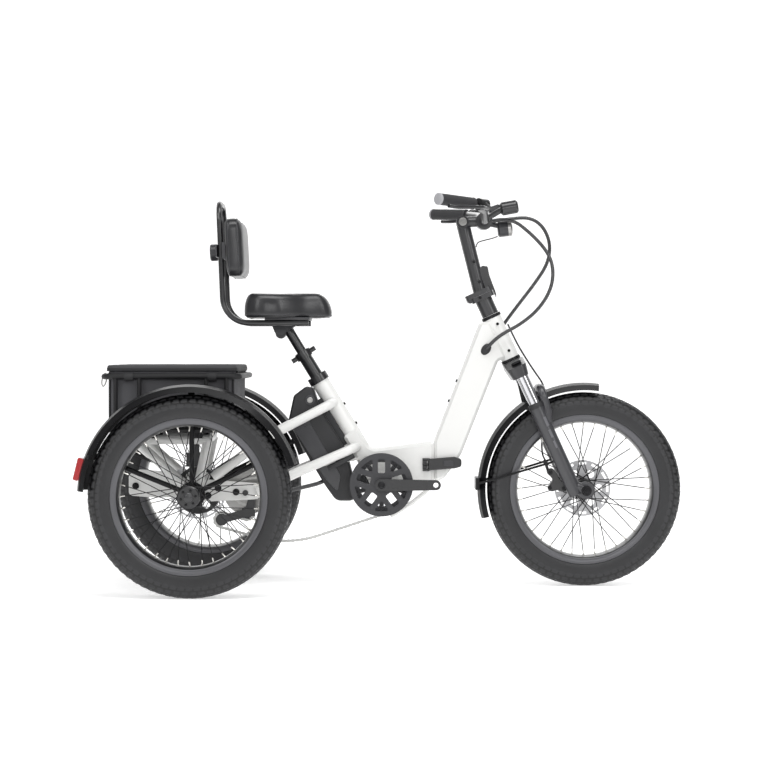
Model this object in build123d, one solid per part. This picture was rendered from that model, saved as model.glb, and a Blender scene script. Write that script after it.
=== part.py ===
from build123d import *

# An electric tricycle with a step-through frame that folds in the middle: two spoked wheels behind,
# one in a sprung fork in front, a saddle with a backrest, and a covered bag in a tube basket.
# Millimetres. +X is forward, +Y is the rider's left and +Z is up. It is drawn from the ground under
# the middle of the rear axle, and moved at the end to the ground under the middle of its own box.

import os
from math import asin, atan2, ceil, cos, pi, radians, sin, tan

# ---------------------------------------------------------------- driving dimensions

gap = 0.3                    # between two pieces that face each other and may move
clear = 5.0                  # between a moving piece and what it passes
running = 0.06               # on the radius, between a shaft and its bore

wheelbase = 1091.0
rear_track = 660.0
tyre_radius = 275.0
tyre_width = 75.0
tread_width = 44.0
tyre_shoulder = 17.0         # from the crown down to the edge of the tyre's upright sides
rim_radius = 206.0
rim_width = 72.0
rim_bed_radius = 189.0
rim_bed_width = 38.0
spoke_count = 36
spoke_radius = 1.2
spoke_lead = 62.0            # degrees round the hub from a spoke's head to its nipple

hub_flange_radius = 29.0
hub_flange_spacing = 50.0
hub_flange_thick = 5.0
hub_barrel_radius = 17.0
hub_length = 78.0
hub_cap_radius = 31.0
hub_cap_length = 12.0
rear_stub_radius = 8.5
front_axle_radius = 6.0

fender_lift = 27.0           # from the tyre's crown up to the outside of a mudguard
fender_drop = 21.0           # from the crown to the rolled edge
fender_width = 104.0
front_fender_width = 88.0
fender_wall = 2.6
rear_fender_start = 17.0     # degrees from level, in front
rear_fender_end = 177.0      # degrees from level, behind
front_fender_start = 82.0
front_fender_end = 196.0

axle_tube_radius = 20.0
cradle_half = 95.0           # middle of the side plates and tubes, left and right
cradle_plate = 6.0
cradle_top = 419.0
cradle_tube_radius = 13.5
bracket_inside = 262.0       # inner face of the fender brackets on the axle
bracket_thick = 12.0
bracket_radius = 36.0
rotor_radius = 80.0
rotor_thick = 2.2
rotor_y = -72.0
front_rotor_y = 33.0

seat_angle = 31.5            # back from upright
seat_tube_radius = 25.0
seat_top = (342.0, 579.0)    # X and Z of the top of the seat tube's middle line
seat_tube_length = 226.0
lower_post_radius = 18.5
lower_post_length = 102.0
upper_post_radius = 13.8
upper_post_out = 72.0
seat_down = 20.0
seat_up = 80.0

shell_width = 66.0
shell_round = 16.0
seam_behind = 426.0          # the fold behind the front axle
seam_low = 294.0
seam_high = 411.0
fold_pin_y = 50.0
fold_pin_radius = 6.0
fold_barrel_radius = 12.0
fold_low = 314.0
fold_high = 392.0
fold_range = 120.0

bottom_x = 516.0             # bottom bracket
bottom_z = 292.0
bottom_shell_radius = 24.0
spindle_radius = 9.0
crank_length = 152.0
crank_thick = 13.0
pedal_thread_radius = 7.14
support_half = 22.0          # the folded frame's support, left and right of the middle
crank_y = 118.0              # outer face of each arm
guard_radius = 89.0
guard_thick = 6.0
guard_y = 94.0               # middle of the guard
chainring_radius = 78.0
chain_width = 5.6
chain_height = 8.0

jack_x = 135.0               # drive hub ahead of the axle
jack_z = 270.0
jack_shaft_radius = 8.0
drive_radius = 58.0
drive_width = 84.0
cassette_large = 66.0
cassette_small = 24.0
cassette_steps = 7
cassette_pitch = 4.6
cog_thick = 1.8
driven_cog = 5               # the cog that the chain runs on, counted from the largest
jockey_radius = 17.0
jockey_upper = (137.0, 212.0)
jockey_lower = (66.0, 192.0)
chain_sag = (244.0, 432.0, 300.0)   # the slack lower run follows this round
belt_step = radians(20.0)    # turn between two straight links of a belt

head_angle = 24.6            # back from upright
head_top_behind = 265.0      # top of the head tube behind the front axle, and its height
head_top_z = 769.0
head_tube_length = 144.0
head_tube_radius = 26.0
steerer_radius = 15.0
steering_lock = 45.0
leg_spacing = 132.0
leg_ahead = 6.0              # legs ahead of the steering axis
stanchion_radius = 17.0
lower_radius = 21.0
crown_depth = 42.0
crown_drop = 8.0             # from the head tube down to the crown
stanchion_length = 150.0
lower_length = 270.0

post_base_radius = 24.0
post_base_length = 63.0
post_pin_radius = 4.0
post_ear_radius = 10.0
post_ear_width = 12.0
post_lug_width = 20.0
post_jaw_length = 66.0
post_jaw_width = 54.0
latch_gap = 2.0              # between the post's lever and the lower jaw
post_radius = 19.0
stem_pivot_at = (-80.0, 264.0)      # ahead of and above the top of the head tube
post_fold_range = 100.0
bar_clamp_at = (-19.0, 266.0)
bar_radius = 15.9
bar_grip_radius = 11.1
grip_radius = 16.5

basket_rear = -244.0
basket_front = 127.0
basket_half = 250.0
basket_top = 597.0
basket_low = 452.0
basket_tube = 8.0
bag_wall = 5.0
bag_gap = 3.0
bag_top = 611.0
lid_thick = 18.0
lid_open = 60.0
lid_roll_radius = 4.5

rail_half = 90.0
rail_tube = 8.0
rail_z = 746.0
backrest_x = 60.0
backrest_top = 1090.0
backrest_bend = 72.0
backrest_lean = 2.4
cushion_middle = (106.5, 956.0)     # X and Z
cushion_size = (48.0, 290.0, 170.0)

display_ahead = (31.0, 31.0)        # ahead of and above the bar's clamp, as the next two are
display_size = (34.0, 58.0, 26.0)
bell_ahead = (69.0, 36.0)
bell_y = -48.0
bell_radius = 19.0
bell_length = 50.0
headlamp_ahead = (58.0, -21.0)
headlamp_radius = 22.0
headlamp_length = 38.0

cable_radius = 5.0
hose_radius = 2.5            # the routes run ahead of, left of and above the top of the head tube
cable_right = [
    (6.5, -14, 267), (52, -26, 277), (114, -18, 231), (164, -22, 175), (178, -26, 123), (168, -30, 67),
    (132, -34, 13), (82, -40, -27), (32, -46, -53), (2, -46, -77), (-12.6, -34.8, -94.9),
]
cable_left = [
    (6.5, 14, 267), (58, 16, 275), (112, 18, 279), (150, 20, 255), (172, 24, 206), (166, 28, 149),
    (128, 32, 91), (86, 36, 37), (50, 42, -11), (20, 46, -55), (-2, 46, -79), (-12.6, 34.8, -94.9),
]
cable_right_split = 3        # the last point of each upper half
cable_left_split = 4

thin_bar = 10.0              # a bar no thicker than this has flats
thin_bar_sides = 12

# ---------------------------------------------------------------- worked out from them

axle_z = tyre_radius
fender_radius = tyre_radius + fender_lift
rear_wheel_y = rear_track / 2
cog_step = (cassette_large - cassette_small) / (cassette_steps - 1)
chain_y = -(drive_width / 2 + gap + cog_thick / 2 + cassette_pitch * driven_cog)
seat_up_dir = Vector(-sin(radians(seat_angle)), 0, cos(radians(seat_angle)))
seat_side_dir = Vector(-cos(radians(seat_angle)), 0, -sin(radians(seat_angle)))
head_up_dir = Vector(-sin(radians(head_angle)), 0, cos(radians(head_angle)))
head_fore_dir = Vector(cos(radians(head_angle)), 0, sin(radians(head_angle)))
seat_top_point = Vector(seat_top[0], 0, seat_top[1])
head_top_point = Vector(wheelbase - head_top_behind, 0, head_top_z)
seam_x = wheelbase - seam_behind
stem_pivot = (head_top_point.X + stem_pivot_at[0], head_top_point.Z + stem_pivot_at[1])
bar_clamp = (head_top_point.X + bar_clamp_at[0], head_top_point.Z + bar_clamp_at[1])
head_bottom_point = head_top_point - head_up_dir * head_tube_length


# ---------------------------------------------------------------- shapes used again and again

def bar_section(radius):
    """Round, or with flats where the bar is thin."""
    return Circle(radius) if radius > thin_bar else RegularPolygon(radius, thin_bar_sides)


def rod(start, end, radius):
    """A straight bar from one point to another."""
    axis = Vector(*end) - Vector(*start)
    return extrude(Plane(origin=Vector(*start), z_dir=axis) * bar_section(radius), amount=axis.length)


def bent_bar(points, radius, bends):
    """A bar along straight runs joined by bends of the given radius or radii."""
    path = FilletPolyline(*points, radius=bends)
    return sweep(Plane(origin=path @ 0, z_dir=path % 0) * bar_section(radius), path=path)


def side_plate(points, width, middle=0.0):
    """An outline drawn in X and Z, as thick as the width, about a middle plane."""
    face = make_face(Polyline(*points, close=True))
    return Pos(0, middle, 0) * extrude(Plane.XZ * face, amount=width / 2, both=True)


def side_shell(corners, width, edge):
    """A closed shell seen from the side: corners are (X, Z, radius), and its long edges are cut."""
    points = [(x, z) for x, z, _ in corners]
    outline = FilletPolyline(*points, radius=[r for _, _, r in corners], close=True)
    body = extrude(Plane.XZ * make_face(outline), amount=width / 2, both=True)
    return chamfer(body.faces().filter_by(Axis.Y).edges(), edge)


def turned(points, centre):
    """A shape turned about a line along Y: its outline is given as (y, radius)."""
    face = make_face(Polyline(*points, close=True))
    ring = revolve(Plane.YZ * face, axis=Axis.Y)
    return Pos(*centre) * ring


def belt(wheels):
    """A closed loop round wheels given as (x, z, radius, sense): +1 inside the loop, -1 outside."""
    count = len(wheels)
    leaves, arrives = [], []
    for i in range(count):
        x1, z1, r1, s1 = wheels[i]
        x2, z2, r2, s2 = wheels[(i + 1) % count]
        apart = Vector(x2 - x1, z2 - z1)
        heading = atan2(apart.Y, apart.X) - asin((s1 * r1 - s2 * r2) / apart.length)
        normal = Vector(-sin(heading), cos(heading))
        leaves.append(Vector(x1, z1) + normal * (s1 * r1))
        arrives.append(Vector(x2, z2) + normal * (s2 * r2))
    corners = []
    for i in range(count):
        x, z, r, sense = wheels[i]
        first = arrives[i - 1] - Vector(x, z)
        last = leaves[i] - Vector(x, z)
        start = atan2(first.Y, first.X)
        turn = (sense * (start - atan2(last.Y, last.X))) % (2 * pi)
        links = ceil(turn / belt_step)
        step = turn / links
        reach = r / cos(step / 2)
        for k in range(links):
            at = start - sense * step * (k + 0.5)
            corners.append((x + reach * cos(at), z + reach * sin(at)))
    return make_face(Polyline(*corners, close=True))


def cord_radii(points):
    """The largest bends that the runs of a cord allow."""
    points = [Vector(*p) for p in points]
    radii = []
    for before, here, after in zip(points, points[1:], points[2:]):
        turn = radians((here - before).get_angle(after - here))
        shorter = min((here - before).length, (after - here).length)
        radii.append(0.45 * shorter / tan(turn / 2))
    return radii


def cord(points, radius):
    """A round cord or cable along its route, with bends as large as its runs allow."""
    radii = cord_radii(points)
    print("cord bends", [round(r) for r in radii])
    return bent_bar(points, radius, radii)


def disc(centre, radius, width):
    """A round plate whose axis lies along Y, about its centre."""
    return Pos(*centre) * (Rot(90, 0, 0) * Cylinder(radius, width))


# ---------------------------------------------------------------- wheels

def tyre(centre):
    outline = [
        (tyre_width / 2, rim_radius + gap),
        (tyre_width / 2, tyre_radius - tyre_shoulder),
        (tread_width / 2, tyre_radius),
    ]
    return turned(outline + [(-y, r) for y, r in reversed(outline)], centre)


def rim(centre):
    outline = [(rim_bed_width / 2, rim_bed_radius), (rim_width / 2, rim_radius)]
    return turned(outline + [(-y, r) for y, r in reversed(outline)], centre)


def spokes(centre):
    """Crossed spokes: on each side every other one leads, and the rest trail."""
    bars = []
    for i in range(spoke_count):
        side = 1 if i % 2 == 0 else -1
        lead = 1 if i % 4 < 2 else -1
        rim_at = radians(360.0 * i / spoke_count)
        hub_at = rim_at + radians(lead * spoke_lead)
        hub_y = side * hub_flange_spacing / 2 + lead * 2.4
        hub_r = hub_flange_radius - 2.0
        rim_r = rim_bed_radius - spoke_radius
        start = Vector(hub_r * cos(hub_at), hub_y, hub_r * sin(hub_at)) + Vector(*centre)
        end = Vector(rim_r * cos(rim_at), side * 3.0, rim_r * sin(rim_at)) + Vector(*centre)
        place = Plane(origin=start, z_dir=end - start)
        bars.append(extrude(place * RegularPolygon(spoke_radius, 4), amount=(end - start).length))
    return bars


def hub(centre, bore, outward):
    """Barrel, two flanges, the spokes and, on the outer side of a rear wheel, a cap."""
    half = hub_length / 2
    flange_in = hub_flange_spacing / 2 - hub_flange_thick / 2
    flange_out = flange_in + hub_flange_thick
    outline = [
        (-half, bore + running),
        (-half, hub_barrel_radius),
        (-flange_out, hub_barrel_radius),
        (-flange_out, hub_flange_radius),
        (-flange_in, hub_flange_radius),
        (-flange_in, hub_barrel_radius),
        (flange_in, hub_barrel_radius),
        (flange_in, hub_flange_radius),
        (flange_out, hub_flange_radius),
        (flange_out, hub_barrel_radius),
        (half, hub_barrel_radius),
        (half, bore + running),
    ]
    body = turned(outline, centre)
    if outward:
        cap_y = outward * (half + hub_cap_length / 2)
        cap = disc((0, cap_y, 0), hub_cap_radius, hub_cap_length)
        edge = cap.edges().filter_by(GeomType.CIRCLE).sort_by(Axis.Y)[-1 if outward > 0 else 0]
        body = body + Pos(*centre) * chamfer(edge, 3.0)
    return body.fuse(*spokes(centre))


def rotor(centre, face_y, bore):
    """A brake disc: a carrier with a ring of slots near its edge."""
    plate = Circle(rotor_radius)
    for i in range(12):
        plate -= Rot(0, 0, 30 * i) * Pos(rotor_radius - 9, 0) * Rectangle(7, 22)
    for i in range(6):
        plate -= Rot(0, 0, 60 * i) * Pos(46, 0) * Circle(11)
    plate -= Circle(bore)
    flat = extrude(Plane.XZ * plate, amount=rotor_thick / 2, both=True)
    return Pos(centre[0], face_y, centre[2]) * flat


# ---------------------------------------------------------------- mudguards

def fender(centre, width, start, end):
    """A crowned sheet that follows the tyre over an arc, level at start and end."""
    half = width / 2
    edge = fender_radius - fender_drop
    crown = fender_radius
    outer = [(half, edge), (half * 0.72, crown - 6.0), (half * 0.3, crown)]
    inner = [(half * 0.28, crown - fender_wall), (half * 0.68, crown - 6.0 - fender_wall)]
    inner.append((half - fender_wall, edge))
    ring = outer + [(-y, r) for y, r in reversed(outer)]
    ring += [(-y, r) for y, r in reversed(inner)] + inner
    face = Plane.YZ * make_face(Polyline(*ring, close=True))
    first = Rot(0, 90 - start, 0) * face
    sheet = revolve(first, axis=Axis((0, 0, 0), (0, -1, 0)), revolution_arc=end - start)
    return Pos(*centre) * sheet


def rear_fender(side):
    """A rear mudguard with the bracket on the axle tube and the three bars that carry it."""
    y = side * (bracket_inside + bracket_thick / 2)
    tip_y = side * (rear_wheel_y - fender_width / 2 - 6.0)
    body = fender((0, side * rear_wheel_y, axle_z), fender_width, rear_fender_start, rear_fender_end)
    body += disc((0, y, axle_z), bracket_radius, bracket_thick)
    for angle in (26.0, 90.0, 158.0):
        reach = fender_radius - fender_drop - 4.0
        along = Vector(cos(radians(angle)), 0, sin(radians(angle)))
        tip = Vector(0, tip_y, axle_z) + along * reach
        body += rod(Vector(0, y, axle_z) + along * 20, tip, 7.0)
        body += rod(tip + Vector(0, -side * 5, 0), tip + Vector(0, side * 9, 0), 9.0)
    return body - disc((0, 0, axle_z), axle_tube_radius, 2 * rear_track)


# ---------------------------------------------------------------- rear frame

def seat_line(along, behind=0.0):
    """X and Z at a length down the seat tube from its top, and behind its middle line."""
    point = seat_top_point - seat_up_dir * along + seat_side_dir * behind
    return (point.X, point.Z)


def seat_point(along, behind=0.0, y=0.0):
    x, z = seat_line(along, behind)
    return Vector(x, y, z)


def main_frame_rear():
    """Seat tube, the bottom shell to the seam, and the bottom bracket shell."""
    tube = rod(seat_top_point, seat_point(seat_tube_length), seat_tube_radius)
    root = seat_line(seat_tube_length - 60, -seat_tube_radius)
    heel = seat_line(seat_tube_length - 60, seat_tube_radius)
    corners = [
        (heel[0], heel[1], 9.0),
        (root[0], root[1], 9.0),
        (root[0] + 32, bottom_z + 96, 30.0),
        (seam_x - gap / 2, seam_high, 9.0),
        (seam_x - gap / 2, seam_low, 9.0),
        (bottom_x + 50, bottom_z - bottom_shell_radius, 30.0),
        (bottom_x - 20, bottom_z - bottom_shell_radius, 20.0),
    ]
    shell = side_shell(corners, shell_width, 8.0)
    case = disc((bottom_x, 0, bottom_z), bottom_shell_radius + 8, shell_width + 8)
    frame = tube + shell + case
    frame -= rod(seat_top_point + seat_up_dir, seat_point(120), lower_post_radius)
    frame -= disc((bottom_x, 0, bottom_z), spindle_radius + running, 300)
    for knuckle in fold_knuckles(False):
        frame += knuckle
    return frame + fold_pin(fold_pin_radius) + support_loop()


def stay_pair(points, radius, bend, cut):
    """The same bent tube on both sides, its ends cut to what it is welded to."""
    pair = []
    for side in (-1, 1):
        tube = bent_bar([(x, side * y, z) for x, y, z in points], radius, bend)
        for other in cut:
            tube = tube - other
        pair.append(tube)
    return pair


def axle_cradle():
    """Side plates and tubes that carry the axle and the drive hub, with two cross tubes."""
    frame = None
    for side in (-1, 1):
        y = side * cradle_half
        plate = side_shell(
            [
                (-36, axle_z + 24, 10),
                (30, axle_z + 32, 10),
                (jack_x + 40, jack_z + 26, 12),
                (jack_x + 40, jack_z - 18, 12),
                (30, axle_z - 30, 10),
                (-36, axle_z - 26, 10),
            ],
            cradle_plate,
            0.8,
        )
        tail = side_shell(
            [(-192, 326, 12), (-100, 318, 12), (-20, 300, 8), (-20, 258, 8), (-110, 256, 12), (-192, 262, 12)],
            cradle_plate,
            0.8,
        )
        rear_leg = rod((-171, 0, 412), (-24, 0, 282), cradle_tube_radius)
        front_leg = rod((30, 0, 420), (4, 0, 296), cradle_tube_radius)
        top = rod((-158, 0, cradle_top), (36, 0, cradle_top), cradle_tube_radius)
        side_frame = Pos(0, y, 0) * (plate + tail + rear_leg + front_leg + top)
        frame = side_frame if frame is None else frame + side_frame
    for x in (-150, 28):
        frame += rod((x, -cradle_half, cradle_top), (x, cradle_half, cradle_top), cradle_tube_radius - 1)
    frame -= disc((0, 0, axle_z), axle_tube_radius, 400)
    frame -= disc((jack_x, 0, jack_z), jack_shaft_radius, 400)
    return frame


def solid_seat_tube():
    return rod(seat_top_point, seat_point(seat_tube_length), seat_tube_radius)


def upper_stays():
    path = [(380, 16, 522), (368, 64, 515), (199, 84, 428), (44, cradle_half, 312)]
    others = [solid_seat_tube(), main_frame_rear(), axle_cradle()]
    return stay_pair(path, cradle_tube_radius, [24, 150], others)


def lower_stays():
    path = [(448, 20, 396), (430, 84, 391), (284, 88, 328), (166, cradle_half, 274)]
    return stay_pair(path, cradle_tube_radius, [24, 150], [main_frame_rear(), axle_cradle()])


def fold_knuckles(front):
    """Half of the frame's hinge: barrels round the pin and the lugs that weld them on."""
    third = (fold_high - fold_low) / 3
    spans = [(fold_low, fold_low + third), (fold_high - third, fold_high)]
    if front:
        spans = [(fold_low + third + gap, fold_high - third - gap)]
    ahead = 1 if front else -1
    side_y = shell_width / 2 - 4
    lug_length = fold_barrel_radius + 6
    lug_x = seam_x + ahead * (lug_length / 2 + gap)
    half = []
    for low, high in spans:
        middle = (low + high) / 2
        half.append(Pos(seam_x, fold_pin_y, middle) * Cylinder(fold_barrel_radius, high - low))
        lug = Box(lug_length, fold_pin_y - side_y, high - low)
        half.append(Pos(lug_x, (side_y + fold_pin_y) / 2, middle) * lug)
    return half


def fold_pin(radius):
    long = fold_high - fold_low + 8
    return Pos(seam_x, fold_pin_y, (fold_low + fold_high) / 2) * Cylinder(radius, long)


def axle_housing():
    """Axle tube from wheel to wheel, with a stub at each end for the hub."""
    end = bracket_inside + bracket_thick + 2
    tube = disc((0, 0, axle_z), axle_tube_radius, 2 * end)
    stub = disc((0, 0, axle_z), rear_stub_radius, 2 * (rear_wheel_y + hub_length / 2 - 1))
    return tube + stub


def drive_hub():
    body = disc((jack_x, 0, jack_z), drive_radius, drive_width)
    body = chamfer(body.edges().filter_by(GeomType.CIRCLE), 6.0)
    shaft = disc((jack_x, 0, jack_z), jack_shaft_radius, 2 * (cradle_half + cradle_plate + 8))
    return body + shaft


def cog_radius(index):
    return cassette_large - cog_step * index


def cassette():
    """Thin sprockets on a core, on the right of the drive hub, the largest innermost."""
    inner = -(drive_width / 2 + gap)
    long = cassette_pitch * (cassette_steps - 1) + cog_thick
    stack = disc((jack_x, inner - long / 2, jack_z), cassette_small - 4, long)
    for i in range(cassette_steps):
        y = inner - cog_thick / 2 - cassette_pitch * i
        stack += disc((jack_x, y, jack_z), cog_radius(i), cog_thick)
    return stack - disc((jack_x, 0, jack_z), jack_shaft_radius, 400)


def chain_wheels():
    """The wheels that the chain follows, in order, at the middle of its height."""
    lift = gap + chain_height / 2
    return [
        (jack_x, jack_z, cog_radius(driven_cog) + lift, 1),
        (bottom_x, bottom_z, chainring_radius + lift, 1),
        (chain_sag[0], chain_sag[1], chain_sag[2], 1),
        (jockey_lower[0], jockey_lower[1], jockey_radius + lift, 1),
        (jockey_upper[0], jockey_upper[1], jockey_radius + lift, -1),
    ]


def chain():
    """One closed loop: over the cog, round the chainring, and back by the two jockey wheels."""
    half = chain_height / 2
    outside = belt([(x, z, r + sense * half, sense) for x, z, r, sense in chain_wheels()])
    inside = belt([(x, z, r - sense * half, sense) for x, z, r, sense in chain_wheels()])
    band = extrude(Plane.XZ * (outside - inside), amount=chain_width / 2, both=True)
    return Pos(0, chain_y, 0) * band


def derailleur():
    """Two jockey wheels in a cage, and the arm that hangs it from the side plate."""
    cage_out = chain_y - chain_width / 2 - 1.6
    cage_in = chain_y + chain_width / 2 + 1.6
    body = None
    for x, z in (jockey_upper, jockey_lower):
        wheel = disc((x, chain_y, z), jockey_radius, 3.0)
        wheel += disc((x, (cage_out + cage_in) / 2, z), 5.0, cage_in - cage_out)
        body = wheel if body is None else body + wheel
    outline = make_hull(
        [
            *(Pos(*jockey_upper) * Circle(11)).edges(),
            *(Pos(*jockey_lower) * Circle(11)).edges(),
        ]
    )
    plate = extrude(Plane.XZ * outline, amount=0.8, both=True)
    body += Pos(0, cage_out, 0) * plate + Pos(0, cage_in, 0) * plate
    hanger_x = jack_x + 14
    arm = side_plate([(jockey_upper[0] - 10, jockey_upper[1] - 12), (hanger_x + 12, jockey_upper[1] - 8),
                      (hanger_x + 12, jack_z - 20), (hanger_x - 8, jack_z - 20)], 12.0)
    arm_y = -(cradle_half - cradle_plate / 2) + 6.0
    body += Pos(0, arm_y, 0) * arm
    return body + rod((jockey_upper[0], arm_y, jockey_upper[1]), (jockey_upper[0], cage_out, jockey_upper[1]), 8.0)


def battery_pack():
    top = seat_line(24, 38)
    corner = seat_line(60, 38)
    corners = [
        (252.7, 470.0, 12),
        (268.0, 541.0, 12),
        (301.0, 566.0, 10),
        (top[0], 563.0, 9),
        (corner[0], corner[1], 20),
        (seat_line(205, 38)[0], seat_line(205, 38)[1], 12),
        (452.0, 243.5, 22),
        (388.0, 243.5, 26),
        (356.0, 288.0, 30),
        (312.0, 361.0, 200),
    ]
    return side_shell(corners, 94.0, 5.0)


def battery_dock():
    """The rail on the back of the seat tube that the battery slides on."""
    outline = [seat_line(40, 20), seat_line(40, 42), seat_line(190, 42), seat_line(190, 20)]
    rail = side_plate(outline, 40.0)
    return rail - main_frame_rear() - battery_pack()


def bag_body():
    outer = (basket_front - basket_rear - 2 * (basket_tube + bag_gap), 2 * (basket_half - basket_tube - bag_gap))
    low = basket_low + basket_tube + gap
    tall = bag_top - low
    middle = (basket_front + basket_rear) / 2
    box = Pos(middle, 0, low) * Box(outer[0], outer[1], tall, align=(Align.CENTER, Align.CENTER, Align.MIN))
    box = fillet(box.edges().filter_by(Axis.Z), 22.0)
    hollow = Pos(middle, 0, low + bag_wall) * Box(
        outer[0] - 2 * bag_wall, outer[1] - 2 * bag_wall, tall, align=(Align.CENTER, Align.CENTER, Align.MIN)
    )
    hollow = fillet(hollow.edges().filter_by(Axis.Z), 22.0 - bag_wall)
    box = box - hollow
    for roll in lid_rolls(lid_roll_radius + gap, True):
        box -= roll
    for roll in lid_rolls(lid_roll_radius, False):
        box += roll
    return box


def lid_rolls(radius, on_lid):
    """The rolls of the lid's hinge along its front edge, on the lid and between them on the bag."""
    spans = [(-190, -110), (-30, 30), (110, 190)] if on_lid else [(-110, -30), (30, 110)]
    x = basket_front - basket_tube - bag_gap
    rolls = []
    for start, end in spans:
        middle = (start + end) / 2
        rolls.append(disc((x, middle, bag_top + gap), radius, end - start - gap))
    return rolls


def bag_lid():
    length = basket_front - basket_rear - 2 * (basket_tube + bag_gap) + 6
    middle = (basket_front + basket_rear) / 2
    lid = Pos(middle, 0, bag_top + gap) * Box(
        length, 2 * (basket_half - basket_tube - bag_gap) + 6, lid_thick, align=(Align.CENTER, Align.CENTER, Align.MIN)
    )
    lid = fillet(lid.edges().filter_by(Axis.Z), 24.0)
    lid = chamfer(lid.faces().sort_by(Axis.Z)[-1].edges(), 4.0)
    for roll in lid_rolls(lid_roll_radius + gap, False):
        lid -= roll
    for roll in lid_rolls(lid_roll_radius, True):
        lid += roll
    return lid


def basket_frame():
    """Two tube rings, the posts between them and the slats that the bag stands on."""
    middle = (basket_front + basket_rear) / 2
    long = basket_front - basket_rear
    frame = None
    for z in (basket_low, basket_top):
        y = basket_half
        a, b = basket_rear, basket_front
        ring = [(middle, -y, z), (b, -y, z), (b, y, z), (a, y, z), (a, -y, z), (middle, -y, z)]
        loop = bent_bar([*ring[:-1], (middle - 1e-3, -y, z)], basket_tube, 30.0)
        frame = loop if frame is None else frame + loop
    for x in (basket_rear + 34, basket_rear + 99, basket_front - 90, basket_front - 34):
        for side in (-1, 1):
            frame += rod((x, side * basket_half, basket_low), (x, side * basket_half, basket_top), 6.0)
    for y in (-180, -cradle_half, 0, cradle_half, 180):
        frame += rod((basket_rear, y, basket_low), (basket_front, y, basket_low), basket_tube)
    for x in (-130, 0):
        for y in (-cradle_half, cradle_half):
            frame += Pos(x, y, (cradle_top + basket_low) / 2) * Box(30, 26, basket_low - cradle_top)
    return frame - axle_cradle()


# ---------------------------------------------------------------- crank

def crank():
    guard = Circle(guard_radius)
    hole = Circle(7)
    for i in range(5):
        turn = 90 + 72 * i
        guard -= Rot(0, 0, turn) * Pos(52, 0) * RectangleRounded(40, 20, 5)
        wedge = make_face(Polyline((44, 0), (74, -22), (74, 22), close=True))
        guard -= Rot(0, 0, turn + 36) * fillet(wedge.vertices(), 4.0)
    guard_plate = extrude(Plane.XZ * guard, amount=guard_thick / 2, both=True)
    guard_plate = Pos(bottom_x, -guard_y, bottom_z) * guard_plate
    ring = Circle(chainring_radius) - Circle(chainring_radius - 16)
    for i in range(5):
        ring += Rot(0, 0, 90 + 72 * i + 36) * Pos(40, 0) * Rectangle(52, 13)
    ring += Circle(24)
    ring_plate = extrude(Plane.XZ * ring, amount=1.1, both=True)
    ring_plate = Pos(bottom_x, chain_y, bottom_z) * ring_plate
    core = disc((bottom_x, (chain_y - guard_y) / 2, bottom_z), 20.0, guard_y + chain_y + 2)
    spindle = disc((bottom_x, 0, bottom_z), spindle_radius, 2 * (crank_y - 2))
    return guard_plate, ring_plate, core, spindle


def crank_arm(side):
    """One arm with the threaded hole for a pedal, ahead on the right and behind on the left."""
    ahead = -side
    y = side * (crank_y - crank_thick / 2)
    tip = bottom_x + ahead * crank_length
    outline = make_hull(
        [
            *(Pos(bottom_x, bottom_z) * Circle(17)).edges(),
            *(Pos(tip, bottom_z) * Circle(14)).edges(),
        ]
    )
    arm = extrude(Plane.XZ * outline, amount=crank_thick / 2, both=True)
    arm = Pos(0, y, 0) * arm
    arm -= disc((bottom_x, y, bottom_z), spindle_radius, 60)
    return arm - disc((tip, y, bottom_z), pedal_thread_radius, 60)


# ---------------------------------------------------------------- front frame

def head_point(along, ahead=0.0, y=0.0):
    """A point along the steering axis from the top of the head tube down, and ahead of it."""
    return head_top_point - head_up_dir * along + head_fore_dir * ahead + Vector(0, y, 0)


def main_frame_front():
    """Down tube and head tube, from the seam forward."""
    high = head_point(14, -10)
    low = head_point(130, -10)
    back = head_point(7.5, -38.5)
    chin = head_point(127.5, -36.0)
    corners = [
        (seam_x + gap / 2, seam_low, 9.0),
        (seam_x + gap / 2, seam_high, 9.0),
        (back.X, back.Z, 12.0),
        (high.X, high.Z, 9.0),
        (low.X, low.Z, 9.0),
        (chin.X, chin.Z, 12.0),
        (seam_x + 77, seam_low + 80, 60.0),
        (seam_x + 29, seam_low + 12, 40.0),
    ]
    shell = side_shell(corners, shell_width - 6, 8.0)
    frame = shell + rod(head_point(0), head_point(head_tube_length), head_tube_radius)
    for knuckle in fold_knuckles(True):
        frame += knuckle
    frame -= fold_pin(fold_pin_radius + running)
    return frame - rod(head_point(-5), head_point(head_tube_length + 5), steerer_radius + running)


# ---------------------------------------------------------------- fork

def leg_point(down, ahead=0.0, y=0.0):
    """A point down a fork leg from the level of the crown's underside."""
    start = head_tube_length + crown_drop + crown_depth
    return head_point(start + down, leg_ahead + ahead, y)


def crown_section(along, length, width, corner):
    place = Plane(origin=head_point(along, 2), x_dir=head_fore_dir, z_dir=-head_up_dir)
    return place * RectangleRounded(length, width, corner)


def fork_upper():
    """Steerer and crown."""
    top = head_tube_length + gap
    wide = leg_spacing + 2 * stanchion_radius + 8
    crown = loft(
        [
            crown_section(top, 60, 76, 22),
            crown_section(top + 18, 58, wide, 22),
            crown_section(top + crown_drop + crown_depth, 46, wide, 20),
        ],
        ruled=True,
    )
    steerer = rod(head_point(-post_base_length + 6), head_point(head_tube_length + 10), steerer_radius)
    return steerer + crown - fork_stanchions()[0] - fork_stanchions()[1]


def fork_stanchions():
    legs = []
    for side in (-1, 1):
        y = side * leg_spacing / 2
        legs.append(rod(leg_point(-20, 0, y), leg_point(stanchion_length, 0, y), stanchion_radius))
    return legs


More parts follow.
